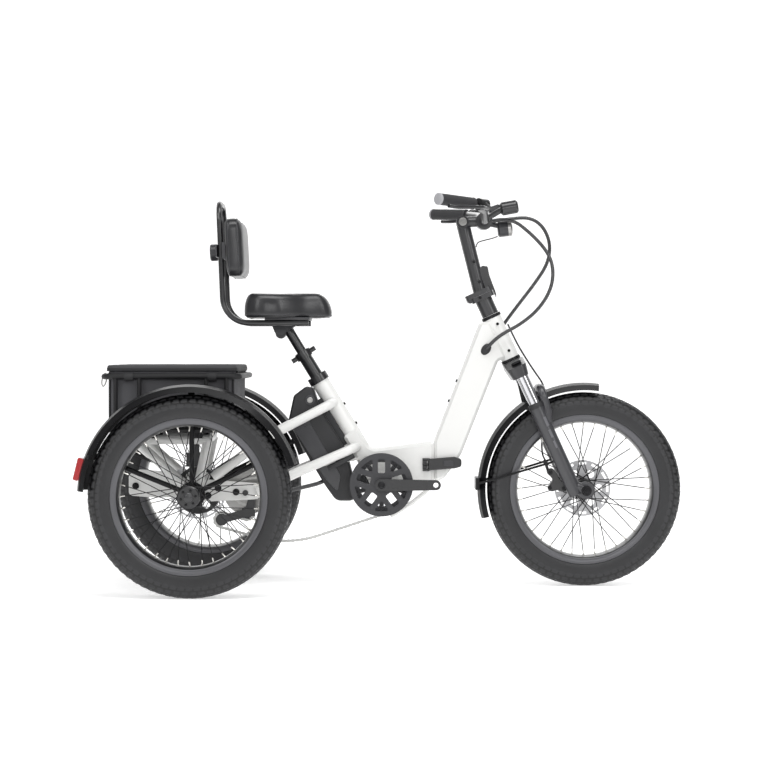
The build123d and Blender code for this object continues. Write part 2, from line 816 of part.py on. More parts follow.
def fork_lower():
    """Sliders with axle lugs, joined by an arch in front of the wheel."""
    legs = None
    for side in (-1, 1):
        y = side * leg_spacing / 2
        top = leg_point(96, 0, y)
        end = leg_point(96 + lower_length, 0, y)
        leg = rod(top, end, lower_radius)
        axle = Vector(wheelbase, y, axle_z)
        lug = disc((wheelbase, y, axle_z), 24.0, 2 * lower_radius - 12)
        bridge = rod(leg_point(96 + lower_length - 24, 0, y), axle, 18.0)
        leg = leg + lug + bridge
        leg -= rod(leg_point(-20, 0, y), leg_point(stanchion_length, 0, y), stanchion_radius)
        legs = leg if legs is None else legs + leg
    half = leg_spacing / 2
    foot = 116
    arch = [leg_point(foot, 26, -half), leg_point(foot - 64, 34, -half), leg_point(foot - 64, 34, half),
            leg_point(foot, 26, half)]
    hoop = bent_bar([tuple(p) for p in arch], 12.0, 26.0)
    for side in (-1, 1):
        y = side * half
        hoop += rod(leg_point(foot + 30, 10, y), leg_point(foot - 4, 26, y), 15.0)
        hoop -= rod(leg_point(-20, 0, y), leg_point(stanchion_length, 0, y), stanchion_radius + gap)
    axle = disc((wheelbase, 0, axle_z), front_axle_radius, leg_spacing + 2 * lower_radius + 12)
    return legs + hoop + axle


# ---------------------------------------------------------------- handlepost, stem and bar

def post_plane(lift):
    """The plane where the handlepost folds, with X ahead and Z up along the steering axis."""
    return Plane(origin=head_point(-post_base_length - lift), x_dir=head_fore_dir, z_dir=head_up_dir)


def post_pin_back():
    """How far the fold pin lies behind the steering axis."""
    return post_jaw_length / 2 + post_ear_radius * 0.2


def on_post_pin(radius, width, middle=0.0):
    """A round plate about the fold pin, which lies across the trike."""
    place = post_plane(0) * Pos(-post_pin_back(), middle, 0)
    return place * (Rot(90, 0, 0) * Cylinder(radius, width))


def post_base():
    """The lower half of the fold, clamped on the steerer above the head tube."""
    base = rod(head_point(-gap), head_point(-post_base_length + gap / 2), post_base_radius)
    jaw = extrude(post_plane(-gap / 2) * RectangleRounded(post_jaw_length, post_jaw_width, 12), amount=-14)
    base += jaw
    base += on_post_pin(post_ear_radius, post_lug_width)
    ear_y = (post_lug_width + post_ear_width) / 2 + gap
    for side in (-1, 1):
        base -= on_post_pin(post_ear_radius + 1.0, post_ear_width + 2 * gap, side * ear_y)
    base -= on_post_pin(post_pin_radius + running, 100.0)
    return base - rod(head_point(-post_base_length + 6), head_point(20), steerer_radius)


def handlepost():
    """The upper half of the fold, the leaning post, its round head and the stem with the bar's clamp."""
    start = head_point(-post_base_length - gap / 2)
    top = Vector(stem_pivot[0], 0, stem_pivot[1])
    tube = rod(start + head_up_dir * 10, top, post_radius)
    back = post_pin_back() + post_ear_radius
    outline = Pos((post_jaw_length / 2 - back) / 2, 0) * RectangleRounded(
        post_jaw_length / 2 + back, post_jaw_width, 12
    )
    parts = tube + extrude(post_plane(gap / 2) * outline, amount=14)
    ear_y = (post_lug_width + post_ear_width) / 2 + gap
    for side in (-1, 1):
        parts += on_post_pin(post_ear_radius, post_ear_width, side * ear_y)
    parts -= on_post_pin(post_ear_radius + 1.0, post_lug_width + 2 * gap)
    parts += on_post_pin(post_pin_radius, 2 * ear_y + post_ear_width)
    parts += disc((top.X, 0, top.Z), 18.0, 44.0)
    clamp = Vector(bar_clamp[0], 0, bar_clamp[1])
    parts += rod(top, clamp, 15.0)
    parts += disc((clamp.X, 0, clamp.Z), 24.0, 46.0)
    return parts - disc((clamp.X, 0, clamp.Z), bar_grip_radius, 100)


def bar_path():
    """The right half of the bar's middle line, from the clamp out to the end of the grip."""
    bends = [(0, 0, 0), (0, -70, 0), (-8, -150, 24), (-38, -240, 34), (-137, -325, 41)]
    return [(bar_clamp[0] + x, y, bar_clamp[1] + z) for x, y, z in bends]


def handlebar():
    half = bar_path()
    left = [(x, -y, z) for x, y, z in reversed(half)]
    return bent_bar(left[:-1] + half[1:], bar_grip_radius, [60, 60, 40, 40, 60, 60])


def grips():
    half = bar_path()
    out = []
    for side in (-1, 1):
        a = Vector(half[-2][0], side * abs(half[-2][1]), half[-2][2])
        b = Vector(half[-1][0], side * abs(half[-1][1]), half[-1][2])
        along = (b - a).normalized()
        grip = rod(b - along * 128, b + along * 4, grip_radius)
        out.append(grip - handlebar())
    return out


# ---------------------------------------------------------------- saddle and backrest

def saddle():
    profile = [
        (126, 762, 10), (131, 812, 16), (150, 829, 30), (346, 828, 34), (372, 806, 26), (382, 780, 12),
        (378, 769, 8), (300, 762, 60),
    ]
    pts = [(x, z) for x, z, _ in profile]
    side = make_face(FilletPolyline(*pts, radius=[r for *_, r in profile], close=True))
    body = extrude(Plane.XZ * side, amount=140, both=True)
    plan = [(126, -118, 30), (126, 118, 30), (190, 138, 60), (270, 118, 80), (330, 74, 60), (381, 58, 30),
            (381, -58, 30), (330, -74, 60), (270, -118, 80), (190, -138, 60)]
    top = make_face(FilletPolyline(*[(x, y) for x, y, _ in plan], radius=[r for *_, r in plan], close=True))
    return body & extrude(Pos(0, 0, 740) * top, amount=110)


def saddle_base():
    """The plate under the saddle and the block that clamps it to the seat post."""
    under = rail_z + rail_tube
    plate = Pos(252, 0, under + 3.7) * Box(126, 2 * rail_half + 2 * rail_tube, 7)
    block = side_plate(
        [(196, under + 2), (292, under + 2), (272, 738), (232, 712), (214, 718), (206, 738)], 46.0
    )
    return plate + block - seat_posts()[1]


def backrest_frame():
    """One tube: forward under the saddle on each side, and up behind it in a loop."""
    top = backrest_top - rail_tube
    half = [(312, rail_half, rail_z), (backrest_x + 14, rail_half, rail_z), (backrest_x, rail_half, top)]
    other = [(x, -y, z) for x, y, z in reversed(half)]
    return bent_bar(half + other, rail_tube, [backrest_bend, 46, 46, backrest_bend])


def backrest_cushion():
    cushion = fillet(Box(*cushion_size).edges().filter_by(Axis.X), 30.0)
    return Pos(cushion_middle[0], 0, cushion_middle[1]) * Rot(0, -3, 0) * cushion


def seat_posts():
    lower = rod(seat_point(118), seat_point(-lower_post_length), lower_post_radius)
    lower -= rod(seat_point(200), seat_point(-lower_post_length - 5), upper_post_radius + running)
    upper = rod(seat_point(60), seat_point(-lower_post_length - upper_post_out), upper_post_radius)
    head = seat_point(-lower_post_length - upper_post_out - 2, 23)
    return lower, upper + disc((head.X, 0, head.Z), 15.0, 44.0)


def seat_clamps():
    """The collar on the seat tube, and the collar with two knobs at the top of the lower post."""
    low = rod(seat_point(-gap), seat_point(-22), seat_tube_radius + 4)
    high = rod(seat_point(-lower_post_length + 22), seat_point(-lower_post_length + 1), lower_post_radius + 5)
    knobs = rod(seat_point(-lower_post_length + 11, -20), seat_point(-lower_post_length + 11, -38), 7.0)
    knobs += rod(seat_point(-lower_post_length + 11, 20), seat_point(-lower_post_length + 11, 38), 7.0)
    lower = rod(seat_point(118), seat_point(-lower_post_length), lower_post_radius)
    return [low - lower, (high + knobs) - lower]


def backrest_knob():
    """Two plates clamped across the backrest's tubes by a bolt with a round knob."""
    lean = Rot(0, -backrest_lean, 0)
    front = Pos(0.5, 0, 0) * Box(14, 2 * rail_half + 30, 46)
    core = Pos(-14, 0, 0) * Box(26, 36, 40)
    back = Pos(-23, 0, 0) * Box(4, 2 * rail_half + 30, 34)
    knob = Pos(-36, 0, 0) * (Rot(0, 90, 0) * Cylinder(24, 22))
    knob = chamfer(knob.edges().filter_by(GeomType.CIRCLE), 3.0)
    place = Pos(backrest_x + 16.5, 0, 948) * lean
    body = place * (front + core + back + knob)
    return body - backrest_frame() - backrest_cushion()


def tail_lamp(side):
    """A lamp on the back of a rear mudguard."""
    turn = 166.0
    x = (fender_radius + 5) * cos(radians(turn))
    z = axle_z + (fender_radius + 5) * sin(radians(turn))
    lens = Pos(x, side * rear_wheel_y, z) * Rot(0, -(turn - 180), 0) * Box(16, 44, 62)
    lens = chamfer(lens.edges().filter_by(Axis.Y), 3.0)
    return (lens - rear_fender(side)).solids().sort_by(SortBy.VOLUME)[-1]


def front_fender():
    """The front mudguard, its bracket under the crown and the stays to its tail."""
    body = fender((wheelbase, 0, axle_z), front_fender_width, front_fender_start, front_fender_end)
    crown_end = head_point(head_tube_length + crown_drop + crown_depth - 6, 2)
    rise = radians(124.0)
    foot = Vector(wheelbase + (fender_radius - 2) * cos(rise), 0, axle_z + (fender_radius - 2) * sin(rise))
    body += rod(crown_end, foot, 9.0)
    back = radians(177.0)
    tail = Vector(wheelbase + (fender_radius + 2) * cos(back), 0, axle_z + (fender_radius + 2) * sin(back))
    body += Pos(*tail) * Box(10, front_fender_width + 8, 34)
    for side in (-1, 1):
        start = leg_point(256, -16, side * (leg_spacing / 2 - 6))
        body += rod(start, tail + Vector(0, side * front_fender_width / 2, 0), 3.2)
    body -= disc((wheelbase, 0, axle_z), fender_radius - fender_drop - 4, front_fender_width - 8)
    return body - fork_upper() - fork_lower()


def caliper_front():
    y = front_rotor_y + 2
    body = Box(42, 22, 68) + Pos(16, 19, 4) * Box(34, 22, 30) + Pos(-15, 0, 0) * Box(8, 18, 50)
    body = Pos(wheelbase - 87, y, axle_z + 21) * body
    body -= disc((wheelbase, front_rotor_y, axle_z), rotor_radius + 5, rotor_thick + 3.0)
    return body - fork_lower()


def caliper_rear():
    rise = axle_z + rotor_radius + 7
    body = Pos(-4, rotor_y, rise) * Box(56, 26, 40)
    body -= disc((0, rotor_y, axle_z), rotor_radius + 5, rotor_thick + 3.0)
    body += Pos(-4, rotor_y - 14, rise + 34) * Box(18, 10, 44)
    return body - axle_cradle()


def frame_latch():
    """The lever that locks the frame's fold, pinned behind the seam and lying along the tube."""
    face = shell_width / 2 + gap
    corners = [(-17, 329, 5), (57, 335, 9), (77, 340, 9), (77, 362, 9), (57, 368, 9), (-17, 362, 5)]
    lever = side_shell([(seam_x + x, z, r) for x, z, r in corners], 14.0, 2.0)
    lever = Pos(0, -(face + 7.5), 0) * lever
    for z in (331, 345.5, 360):
        lever += rod((seam_x - 31, -(face + 6), z), (seam_x - 13, -(face + 6), z), 4.0)
    lever += Pos(seam_x - 27, -face - 1, 345.5) * Box(12, 9, 36)
    return lever - main_frame_rear()


def handlepost_latch():
    """The lever in front of the post that locks its fold; it stays with the post."""
    outline = [(-34, 131, 4), (-24, 140, 4), (-9, 138, 4), (-4, 113, 40), (15, 62, 8), (16, 43, 8), (-6, 45, 3)]
    points = [(head_top_point.X + ahead, head_top_point.Z + above) for ahead, above, _ in outline]
    face = make_face(FilletPolyline(*points, radius=[r for *_, r in outline], close=True))
    lever = extrude(Plane.XZ * face, amount=13, both=True)
    jaw = RectangleRounded(post_jaw_length + 2 * latch_gap, post_jaw_width + 2 * latch_gap, 12)
    lever -= extrude(post_plane(gap) * jaw, amount=-40)
    return lever - handlepost()


def support_loop():
    """A bent bar below the bottom bracket, which the folded frame rests on."""
    half = [(0.93, 8), (0.87, -22), (0.6, -55), (0.2, -93)]
    ahead = seam_x - bottom_x
    right = [(bottom_x + share * ahead, -support_half, bottom_z + above) for share, above in half]
    left = [(x, -y, z) for x, y, z in reversed(right)]
    return bent_bar(right + left, 5.0, [14, 60, 12, 12, 60, 14])


def by_clamp(ahead_above, y=0.0):
    """A place ahead of and above the bar's clamp."""
    return Vector(bar_clamp[0] + ahead_above[0], y, bar_clamp[1] + ahead_above[1])


def display():
    """A small screen in a housing over the stem's clamp."""
    body = Pos(*by_clamp(display_ahead)) * Rot(0, -18, 0) * Box(*display_size)
    return chamfer(body.edges(), 4.0) - handlepost() - handlebar()


def bell():
    """A round bell on the right of the bar, over its clamp."""
    body = Pos(*by_clamp(bell_ahead, bell_y)) * Rot(0, 80, 0) * Cylinder(bell_radius, bell_length)
    body = chamfer(body.edges().filter_by(GeomType.CIRCLE), 5.0)
    body += rod(by_clamp((5, 5), bell_y), by_clamp((49, 31), bell_y), 8.0)
    return body - handlebar()


def headlamp():
    """The lamp under the bar, on an arm from the stem's clamp."""
    middle = by_clamp(headlamp_ahead)
    along = Vector(1, 0, 0.105).normalized() * (headlamp_length / 2)
    body = rod(middle - along, middle + along, headlamp_radius)
    body = chamfer(body.edges().filter_by(GeomType.CIRCLE), 4.0)
    body += rod(by_clamp((5, -5)), middle - along * 0.5 + Vector(0, 0, 8), 7.0)
    return body - handlepost() - handlebar()


def brake_levers():
    """A clamp on each side of the bar with a blade that runs in front of the grip."""
    half = bar_path()
    out = []
    for side in (-1, 1):
        a = Vector(half[-2][0], side * abs(half[-2][1]), half[-2][2])
        b = Vector(half[-1][0], side * abs(half[-1][1]), half[-1][2])
        along = (b - a).normalized()
        ahead = Vector(along.Y * side, -along.X * side, 0).normalized()
        ahead = ahead if ahead.X > 0 else ahead * -1
        down = Vector(0, 0, -1)
        clamp = rod(b - along * 176, b - along * 146, 17.0)
        perch = b - along * 158 + ahead * 26 + down * 12
        block = rod(b - along * 162 + ahead * 8, perch, 10.0)
        tip = b - along * 40 + ahead * 30 + down * 20
        blade = bent_bar([perch, perch + along * 34 + ahead * 16, tip, b - along * 6 + ahead * 34 + down * 20],
                         5.0, [18, 60])
        out.append(clamp + block + blade - handlebar())
    return out


def split_cable(points, after):
    """The route's two halves, cut in the middle of the run after the numbered point."""
    route = [head_top_point + Vector(*p) for p in points]
    middle = (route[after] + route[after + 1]) * 0.5
    return [tuple(p) for p in route[: after + 1] + [middle]], [tuple(p) for p in [middle] + route[after + 1:]]


def brake_hose_front():
    """From the left cable's bundle, in front of the crown, round the left leg to the caliper."""
    route = [
        (44, 36, 34), (96, 36, 36), (150, 42, 40), (200, 50, 50), (246, 60, 66), (296, 48, 86),
        (346, 20, 95), (392, -12, 92), (426, -27, 76), (442, -28, 56), (452, -26, 40),
    ]
    return cord([tuple(head_point(*p)) for p in route], hose_radius)


PARTS = {}


def add(name, *shapes):
    PARTS[name] = Compound(children=[s for shape in shapes for s in shape.solids()])


def build_wheels():
    places = {
        "front": ((wheelbase, 0, axle_z), front_axle_radius, 0),
        "rear_right": ((0, -rear_wheel_y, axle_z), rear_stub_radius, -1),
        "rear_left": ((0, rear_wheel_y, axle_z), rear_stub_radius, 1),
    }
    for name, (centre, bore, outward) in places.items():
        add("tyre_" + name, tyre(centre))
        add("rim_" + name, rim(centre))
        add("hub_" + name, hub(centre, bore, outward))
    add("rotor_rear", rotor((0, 0, axle_z), rotor_y, axle_tube_radius))
    add("rotor_front", rotor((wheelbase, 0, axle_z), front_rotor_y, hub_barrel_radius))


def build_rear():
    add("main_frame_rear", main_frame_rear())
    add("frame_stays", *upper_stays(), *lower_stays())
    add("frame_latch", frame_latch())
    add("axle_cradle", axle_cradle())
    add("axle_housing", axle_housing())
    add("fender_rear_right", rear_fender(-1))
    add("fender_rear_left", rear_fender(1))
    add("tail_lamps", tail_lamp(-1), tail_lamp(1))
    add("caliper_rear", caliper_rear())
    add("drive_hub", drive_hub())
    add("cassette", cassette())
    add("derailleur", derailleur())
    add("chain", chain())
    add("chain_guard", *crank())
    add("crank_arms", crank_arm(-1), crank_arm(1))
    add("battery_pack", battery_pack())
    add("battery_dock", battery_dock())
    add("basket_frame", basket_frame())
    add("bag_body", bag_body())
    add("bag_lid", bag_lid())


def build_seat():
    lower, upper = seat_posts()
    add("seat_post_lower", lower)
    add("seat_post_upper", upper)
    add("seat_clamps", *seat_clamps())
    add("saddle_base", saddle_base())
    add("saddle", saddle())
    add("backrest_frame", backrest_frame())
    add("backrest_cushion", backrest_cushion())
    add("backrest_knob", backrest_knob())


def build_front():
    add("main_frame_front", main_frame_front())
    add("fork_upper", fork_upper())
    add("fork_stanchions", *fork_stanchions())
    add("fork_lower", fork_lower())
    add("fender_front", front_fender())
    add("caliper_front", caliper_front())
    add("post_base", post_base())
    add("handlepost", handlepost())
    add("handlepost_latch", handlepost_latch())
    add("handlebar", handlebar())
    add("grips", *grips())
    add("brake_levers", *brake_levers())
    add("display", display())
    add("bell", bell())
    add("headlamp", headlamp())


def build_cables():
    right_high, right_low = split_cable(cable_right, cable_right_split)
    left_high, left_low = split_cable(cable_left, cable_left_split)
    add("cable_right_high", cord(right_high, cable_radius))
    add("cable_right_low", cord(right_low, cable_radius))
    add("cable_left_high", cord(left_high, cable_radius))
    add("cable_left_low", cord(left_low, cable_radius))
    add("brake_hose_front", brake_hose_front())


build_wheels()
build_rear()
build_seat()
build_front()
build_cables()
whole = Compound(children=[solid for shape in PARTS.values() for solid in shape.solids()]).bounding_box()
origin_x = (whole.min.X + whole.max.X) / 2
os.makedirs("parts", exist_ok=True)
for name, shape in PARTS.items():
    placed = Compound(children=[Pos(-origin_x, 0, 0) * solid for solid in shape.solids()])
    export_step(placed, "parts/" + name + ".step")
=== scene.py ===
import bpy
import bmesh
import numpy as np
from math import cos, pi, radians, sin
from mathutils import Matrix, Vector


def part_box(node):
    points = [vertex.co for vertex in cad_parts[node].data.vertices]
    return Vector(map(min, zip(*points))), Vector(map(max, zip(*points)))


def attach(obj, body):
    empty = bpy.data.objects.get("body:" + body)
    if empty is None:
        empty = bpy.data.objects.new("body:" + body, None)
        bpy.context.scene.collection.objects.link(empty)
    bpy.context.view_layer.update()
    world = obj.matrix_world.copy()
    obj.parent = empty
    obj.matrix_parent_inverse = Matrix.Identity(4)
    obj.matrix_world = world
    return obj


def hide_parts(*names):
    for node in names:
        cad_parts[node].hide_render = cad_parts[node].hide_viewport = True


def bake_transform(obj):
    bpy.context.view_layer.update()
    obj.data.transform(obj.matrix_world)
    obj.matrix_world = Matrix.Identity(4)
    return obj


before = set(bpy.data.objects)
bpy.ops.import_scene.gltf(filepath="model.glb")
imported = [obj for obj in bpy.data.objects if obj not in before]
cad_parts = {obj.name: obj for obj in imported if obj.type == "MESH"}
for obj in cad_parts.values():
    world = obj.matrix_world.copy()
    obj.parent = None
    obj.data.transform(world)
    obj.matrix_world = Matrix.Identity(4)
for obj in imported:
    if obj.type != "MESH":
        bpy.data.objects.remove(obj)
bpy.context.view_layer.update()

# ------------------------------------------------------------ where the tricycle stands
# Every place is given in millimetres from the ground under the rear axle, forward, to the rider's
# left and up, which is how a frame builder measures. The rear wheel's box says where that point is.

wheel_low, wheel_high = (np.array(corner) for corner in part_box("tyre_rear_right"))
axle_x = (wheel_low[0] + wheel_high[0]) / 2


def at(points):
    """Points in millimetres from the ground under the rear axle, as metres in the shared frame."""
    return np.asarray(points, float) / 1000 + np.array([axle_x, 0, 0])


# ------------------------------------------------------------ camera, lights, floor
# A long lens a little above the wheels looks square at the right side. The floor and the backdrop are
# one pale sweep, and the light comes from large soft panels, as in a product studio.

camera_from = Vector(at([523.0, -6100.0, 661.0]))
camera_to = Vector(at([523.0, 0.0, 573.1]))
lens = bpy.data.cameras.new("camera")
lens.lens = 100.5
lens.clip_end = 60.0
camera = bpy.data.objects.new("camera", lens)
camera.location = camera_from
camera.rotation_euler = (camera_to - camera_from).to_track_quat("-Z", "Y").to_euler()
bpy.context.scene.collection.objects.link(camera)
bpy.context.scene.camera = camera
bpy.context.scene.view_settings.view_transform = "Standard"


def linear(code):
    """An sRGB hex colour as the linear values that a shader takes."""
    shade = np.array([int(code[i:i + 2], 16) / 255 for i in (1, 3, 5)])
    shade = np.where(shade <= 0.04045, shade / 12.92, ((shade + 0.055) / 1.055) ** 2.4)
    return (*shade, 1.0)


def node(tree, kind, settings=None, **links):
    """Adds one node: settings are its own properties, and links give each input a value or an output."""
    made = tree.nodes.new("ShaderNode" + kind)
    for name, value in (settings or {}).items():
        setattr(made, name, value)
    for name, value in links.items():
        key = int(name[1:]) if name[0] == "_" and name[1:].isdigit() else name.replace("_", " ")
        if isinstance(value, bpy.types.NodeSocket):
            tree.links.new(value, made.inputs[key])
        else:
            made.inputs[key].default_value = value
    return made


def blank(name):
    """A new material with nothing in its tree yet, and the tree."""
    material = bpy.data.materials.new(name)
    material.use_nodes = True
    material.node_tree.nodes.clear()
    return material, material.node_tree


def backdrop_paper():
    """Seamless white paper that takes the object's shadow, lit from behind so that it stays white."""
    material, tree = blank("backdrop_paper")
    paper = node(tree, "BsdfDiffuse", Color=linear("#f7f7f7"))
    lit = node(tree, "Emission", Color=linear("#ffffff"), Strength=0.45)
    both = node(tree, "AddShader", _0=paper.outputs[0], _1=lit.outputs[0])
    node(tree, "OutputMaterial", Surface=both.outputs[0])
    return material


def grid_faces(rows, columns, round_rows=False, round_columns=False):
    """Four-sided faces that join each point of a grid to the next along both parameters."""
    i = np.arange(rows if round_rows else rows - 1)
    j = np.arange(columns if round_columns else columns - 1)
    i, j = (a.ravel() for a in np.meshgrid(i, j, indexing="ij"))
    after_i, after_j = (i + 1) % rows, (j + 1) % columns
    return np.stack([i * columns + j, i * columns + after_j, after_i * columns + after_j,
                     after_i * columns + j], axis=1)


def mesh_object(name, points, faces, material, smooth=True):
    """An object at the origin from points in metres and a list or array of faces."""
    data = bpy.data.meshes.new(name)
    data.from_pydata([tuple(p) for p in np.asarray(points, float)], [], [tuple(f) for f in faces])
    data.update()
    if material is not None:
        data.materials.append(material)
    data.polygons.foreach_set("use_smooth", [smooth] * len(data.polygons))
    obj = bpy.data.objects.new(name, data)
    bpy.context.scene.collection.objects.link(obj)
    return obj


sweep_turn = np.linspace(0, pi / 2, 13)
sweep_line = [(-9.0, 0.0)] + [(3.2 + 2.4 * sin(t), 2.4 - 2.4 * cos(t)) for t in sweep_turn] + [(5.6, 8.0)]
sweep_sides = np.array([-12.0, 12.0])
sweep = np.array([[(x, y, z) for x in sweep_sides] for y, z in sweep_line])
floor = mesh_object("floor", sweep.reshape(-1, 3), grid_faces(len(sweep_line), 2)[:, ::-1],
                    backdrop_paper())

world = bpy.data.worlds.new("studio")
world.use_nodes = True
bpy.context.scene.world = world
world.node_tree.nodes["Background"].inputs["Color"].default_value = linear("#ffffff")
world.node_tree.nodes["Background"].inputs["Strength"].default_value = 0.3

for name, place, size, power in (
    ("panel_above", (0.2, -1.4, 3.6), (3.6, 1.4), 85.0),
    ("panel_front", (0.4, -5.6, 1.9), (3.4, 1.0), 52.0),
    ("panel_right", (3.2, -3.2, 2.6), (1.0, 2.6), 45.0),
    ("panel_left", (-3.0, -3.4, 2.8), (1.0, 2.6), 45.0),
    ("panel_behind", (0.0, 3.4, 3.2), (4.0, 1.2), 35.0),
):
    panel = bpy.data.lights.new(name, "AREA")
    panel.shape = "RECTANGLE"
    panel.size, panel.size_y = size
    panel.energy = power
    lamp = bpy.data.objects.new(name, panel)
    lamp.location = place
    aim = Vector((0, 0, 0.55)) - Vector(place)
    lamp.rotation_euler = aim.to_track_quat("-Z", "Y").to_euler()
    bpy.context.scene.collection.objects.link(lamp)

# ------------------------------------------------------------ control cables
# Two bundles in black spiral wrap run from the bar in a loop ahead of it, cross, and enter the down
# tube by a port on each side. A thin hose branches off to the front brake.

head_top = np.array([826.0, 0, 769.0])
head_up = np.array([-sin(radians(24.6)), 0, cos(radians(24.6))])
head_ahead = np.array([cos(radians(24.6)), 0, sin(radians(24.6))])
cable_right = [(6.5, -14, 267), (52, -26, 277), (114, -18, 231), (164, -22, 175), (178, -26, 123),
               (168, -30, 67), (132, -34, 13), (82, -40, -27), (32, -46, -53), (2, -46, -77),
               (-12.6, -34.8, -94.9)]
cable_left = [(6.5, 14, 267), (58, 16, 275), (112, 18, 279), (150, 20, 255), (172, 24, 206),
              (166, 28, 149), (128, 32, 91), (86, 36, 37), (50, 42, -11), (20, 46, -55), (-2, 46, -79),
              (-12.6, 34.8, -94.9)]
hose_front = [(44, 36, 34), (96, 36, 36), (150, 42, 40), (200, 50, 50), (246, 60, 66), (296, 48, 86),
              (346, 20, 95), (392, -12, 92), (426, -27, 76), (442, -28, 56), (452, -26, 40)]


def evaluated(obj):
    """The object as its modifiers leave it now."""
    return obj.evaluated_get(bpy.context.evaluated_depsgraph_get())


def finish(name, colour, grain, depth, roughness, spread=0.1, **sockets):
    """A solid finish with a grain in millimetres: a fine and a broad noise shift its shade and its gloss
    by the spread, and the fine one raises the surface by the depth, also in millimetres."""
    material, tree = blank(name)
    place = node(tree, "TexCoord").outputs["Object"]
    fine = node(tree, "TexNoise", Vector=place, Scale=1000 / grain, Detail=2.0).outputs["Fac"]
    broad = node(tree, "TexNoise", Vector=place, Scale=9.0, Detail=5.0).outputs["Fac"]
    both = node(tree, "Math", {"operation": "MULTIPLY_ADD"}, _0=fine, _1=0.35, _2=broad).outputs[0]
    bright = node(tree, "MapRange", Value=both, From_Min=0.35, To_Min=1 - spread,
                  To_Max=1 + spread).outputs[0]
    shade = node(tree, "HueSaturation", Color=linear(colour), Value=bright).outputs[0]
    gloss = node(tree, "MapRange", Value=both, From_Min=0.35, To_Min=roughness * (1 - spread),
                 To_Max=roughness * (1 + spread)).outputs[0]
    relief = node(tree, "Bump", Height=fine, Strength=1.0, Distance=depth / 1000).outputs[0]
    shader = node(tree, "BsdfPrincipled", Base_Color=shade, Roughness=gloss, Normal=relief)
    for socket, value in sockets.items():
        shader.inputs[socket.replace("_", " ")].default_value = value
    node(tree, "OutputMaterial", Surface=shader.outputs[0])
    return material


def tube_along(name, route, radius, material, body):
    """A round tube in millimetres along a smooth curve drawn towards its route's points."""
    line = bpy.data.curves.new(name + "_line", "CURVE")
    line.dimensions = "3D"
    line.bevel_depth = radius / 1000
    line.bevel_resolution = 3
    line.resolution_u = 10
    line.use_fill_caps = True
    spline = line.splines.new("NURBS")
    spline.points.add(len(route) - 1)
    for point, place in zip(spline.points, at(route)):
        point.co = (*place, 1.0)
    spline.order_u = 3
    spline.use_endpoint_u = True
    drawn = bpy.data.objects.new(name + "_line", line)
    bpy.context.scene.collection.objects.link(drawn)
    bpy.context.view_layer.update()
    data = bpy.data.meshes.new_from_object(evaluated(drawn))
    bpy.data.objects.remove(drawn)
    data.materials.clear()
    data.materials.append(material)
    data.polygons.foreach_set("use_smooth", [True] * len(data.polygons))
    tube = bpy.data.objects.new(name, data)
    bpy.context.scene.collection.objects.link(tube)
    if body:
        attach(tube, body)
    return tube


spiral_wrap = finish("black_spiral_wrap", "#262628", 5.0, 0.6, 0.3, 0.3, Coat_Weight=0.4)
for hand, route, after in (("right", cable_right, 3), ("left", cable_left, 4)):
    route = np.array(route) + head_top
    middle = (route[after] + route[after + 1]) / 2
    upper = tube_along(f"cable_upper_{hand}", [*route[:after + 1], middle], 5.0, spiral_wrap, None)
    lower = tube_along(f"cable_lower_{hand}", [middle, *route[after + 1:]], 5.0, spiral_wrap, None)
    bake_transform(upper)
    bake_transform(lower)
    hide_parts(f"cable_{hand}_high")
    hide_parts(f"cable_{hand}_low")
hose_points = [head_top - head_up * down + head_ahead * ahead + np.array([0, y, 0])
               for down, ahead, y in hose_front]
hose_jacket = finish("black_brake_hose", "#202022", 1.0, 0.02, 0.4, 0.1)
hose = tube_along("front_brake_hose", hose_points, 2.5, hose_jacket, "steering")
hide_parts("brake_hose_front")

# ------------------------------------------------------------ main frame
# Welded aluminium tube, powder coated in pearl white under a clear coat: the seat tube, the low shell
# to the hinge, the front shell with the head tube, the stays and the cradle of the rear axle.

hands = ((-1, "right"), (1, "left"))
crank_x, crank_z = 516, 292


def dress(material, *names):
    """Gives CAD nodes a material, on the meshes as they are."""
    for name in names:
        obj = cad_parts[name]
        for holder in obj.material_slots:
            holder.link = "OBJECT"
            holder.material = material


def turned(profile, segments):
    """A profile of (along, radius) pairs turned round Z: point (i, j) is radius_i at angle j, along_i up.
    Gives the points in the profile's millimetres, and the faces."""
    along, radius = np.array(profile, float).T
    angle = np.arange(segments) * 2 * pi / segments
    points = np.stack([radius[:, None] * np.cos(angle), radius[:, None] * np.sin(angle),
                       np.repeat(along[:, None], segments, axis=1)], axis=2)
    return points.reshape(-1, 3), grid_faces(len(along), segments, round_columns=True)


def unit(vectors):
    """Vectors, each divided by its length."""
    return vectors / np.linalg.norm(vectors, axis=-1, keepdims=True)


def turn_to(directions):
    """For each direction, the three axes of a part whose own Z points that way."""
    z = unit(np.atleast_2d(np.asarray(directions, float)))
    guess = np.where(np.abs(z[:, 2:3]) > 0.9, [[1.0, 0, 0]], [[0, 0, 1.0]])
    x = unit(np.cross(guess, z))
    return np.stack([x, np.cross(z, x), z], axis=2)


def copies(points, faces, places, directions):
    """The same small part at each place, its Z along that place's direction."""
    axes = turn_to(np.broadcast_to(directions, (len(places), 3)))
    moved = np.einsum("nij,pj->npi", axes, points) + np.asarray(places, float)[:, None]
    count = len(points)
    joined = np.concatenate([np.asarray(faces) + count * i for i in range(len(places))])
    return moved.reshape(-1, 3), joined


def weld(obj):
    """Closes seams and poles, and turns the faces outwards."""
    work = bmesh.new()
    work.from_mesh(obj.data)
    bmesh.ops.remove_doubles(work, verts=work.verts, dist=1e-6)
    bmesh.ops.dissolve_degenerate(work, edges=work.edges, dist=1e-7)
    bmesh.ops.recalc_face_normals(work, faces=work.faces)
    work.to_mesh(obj.data)
    work.free()
    return obj


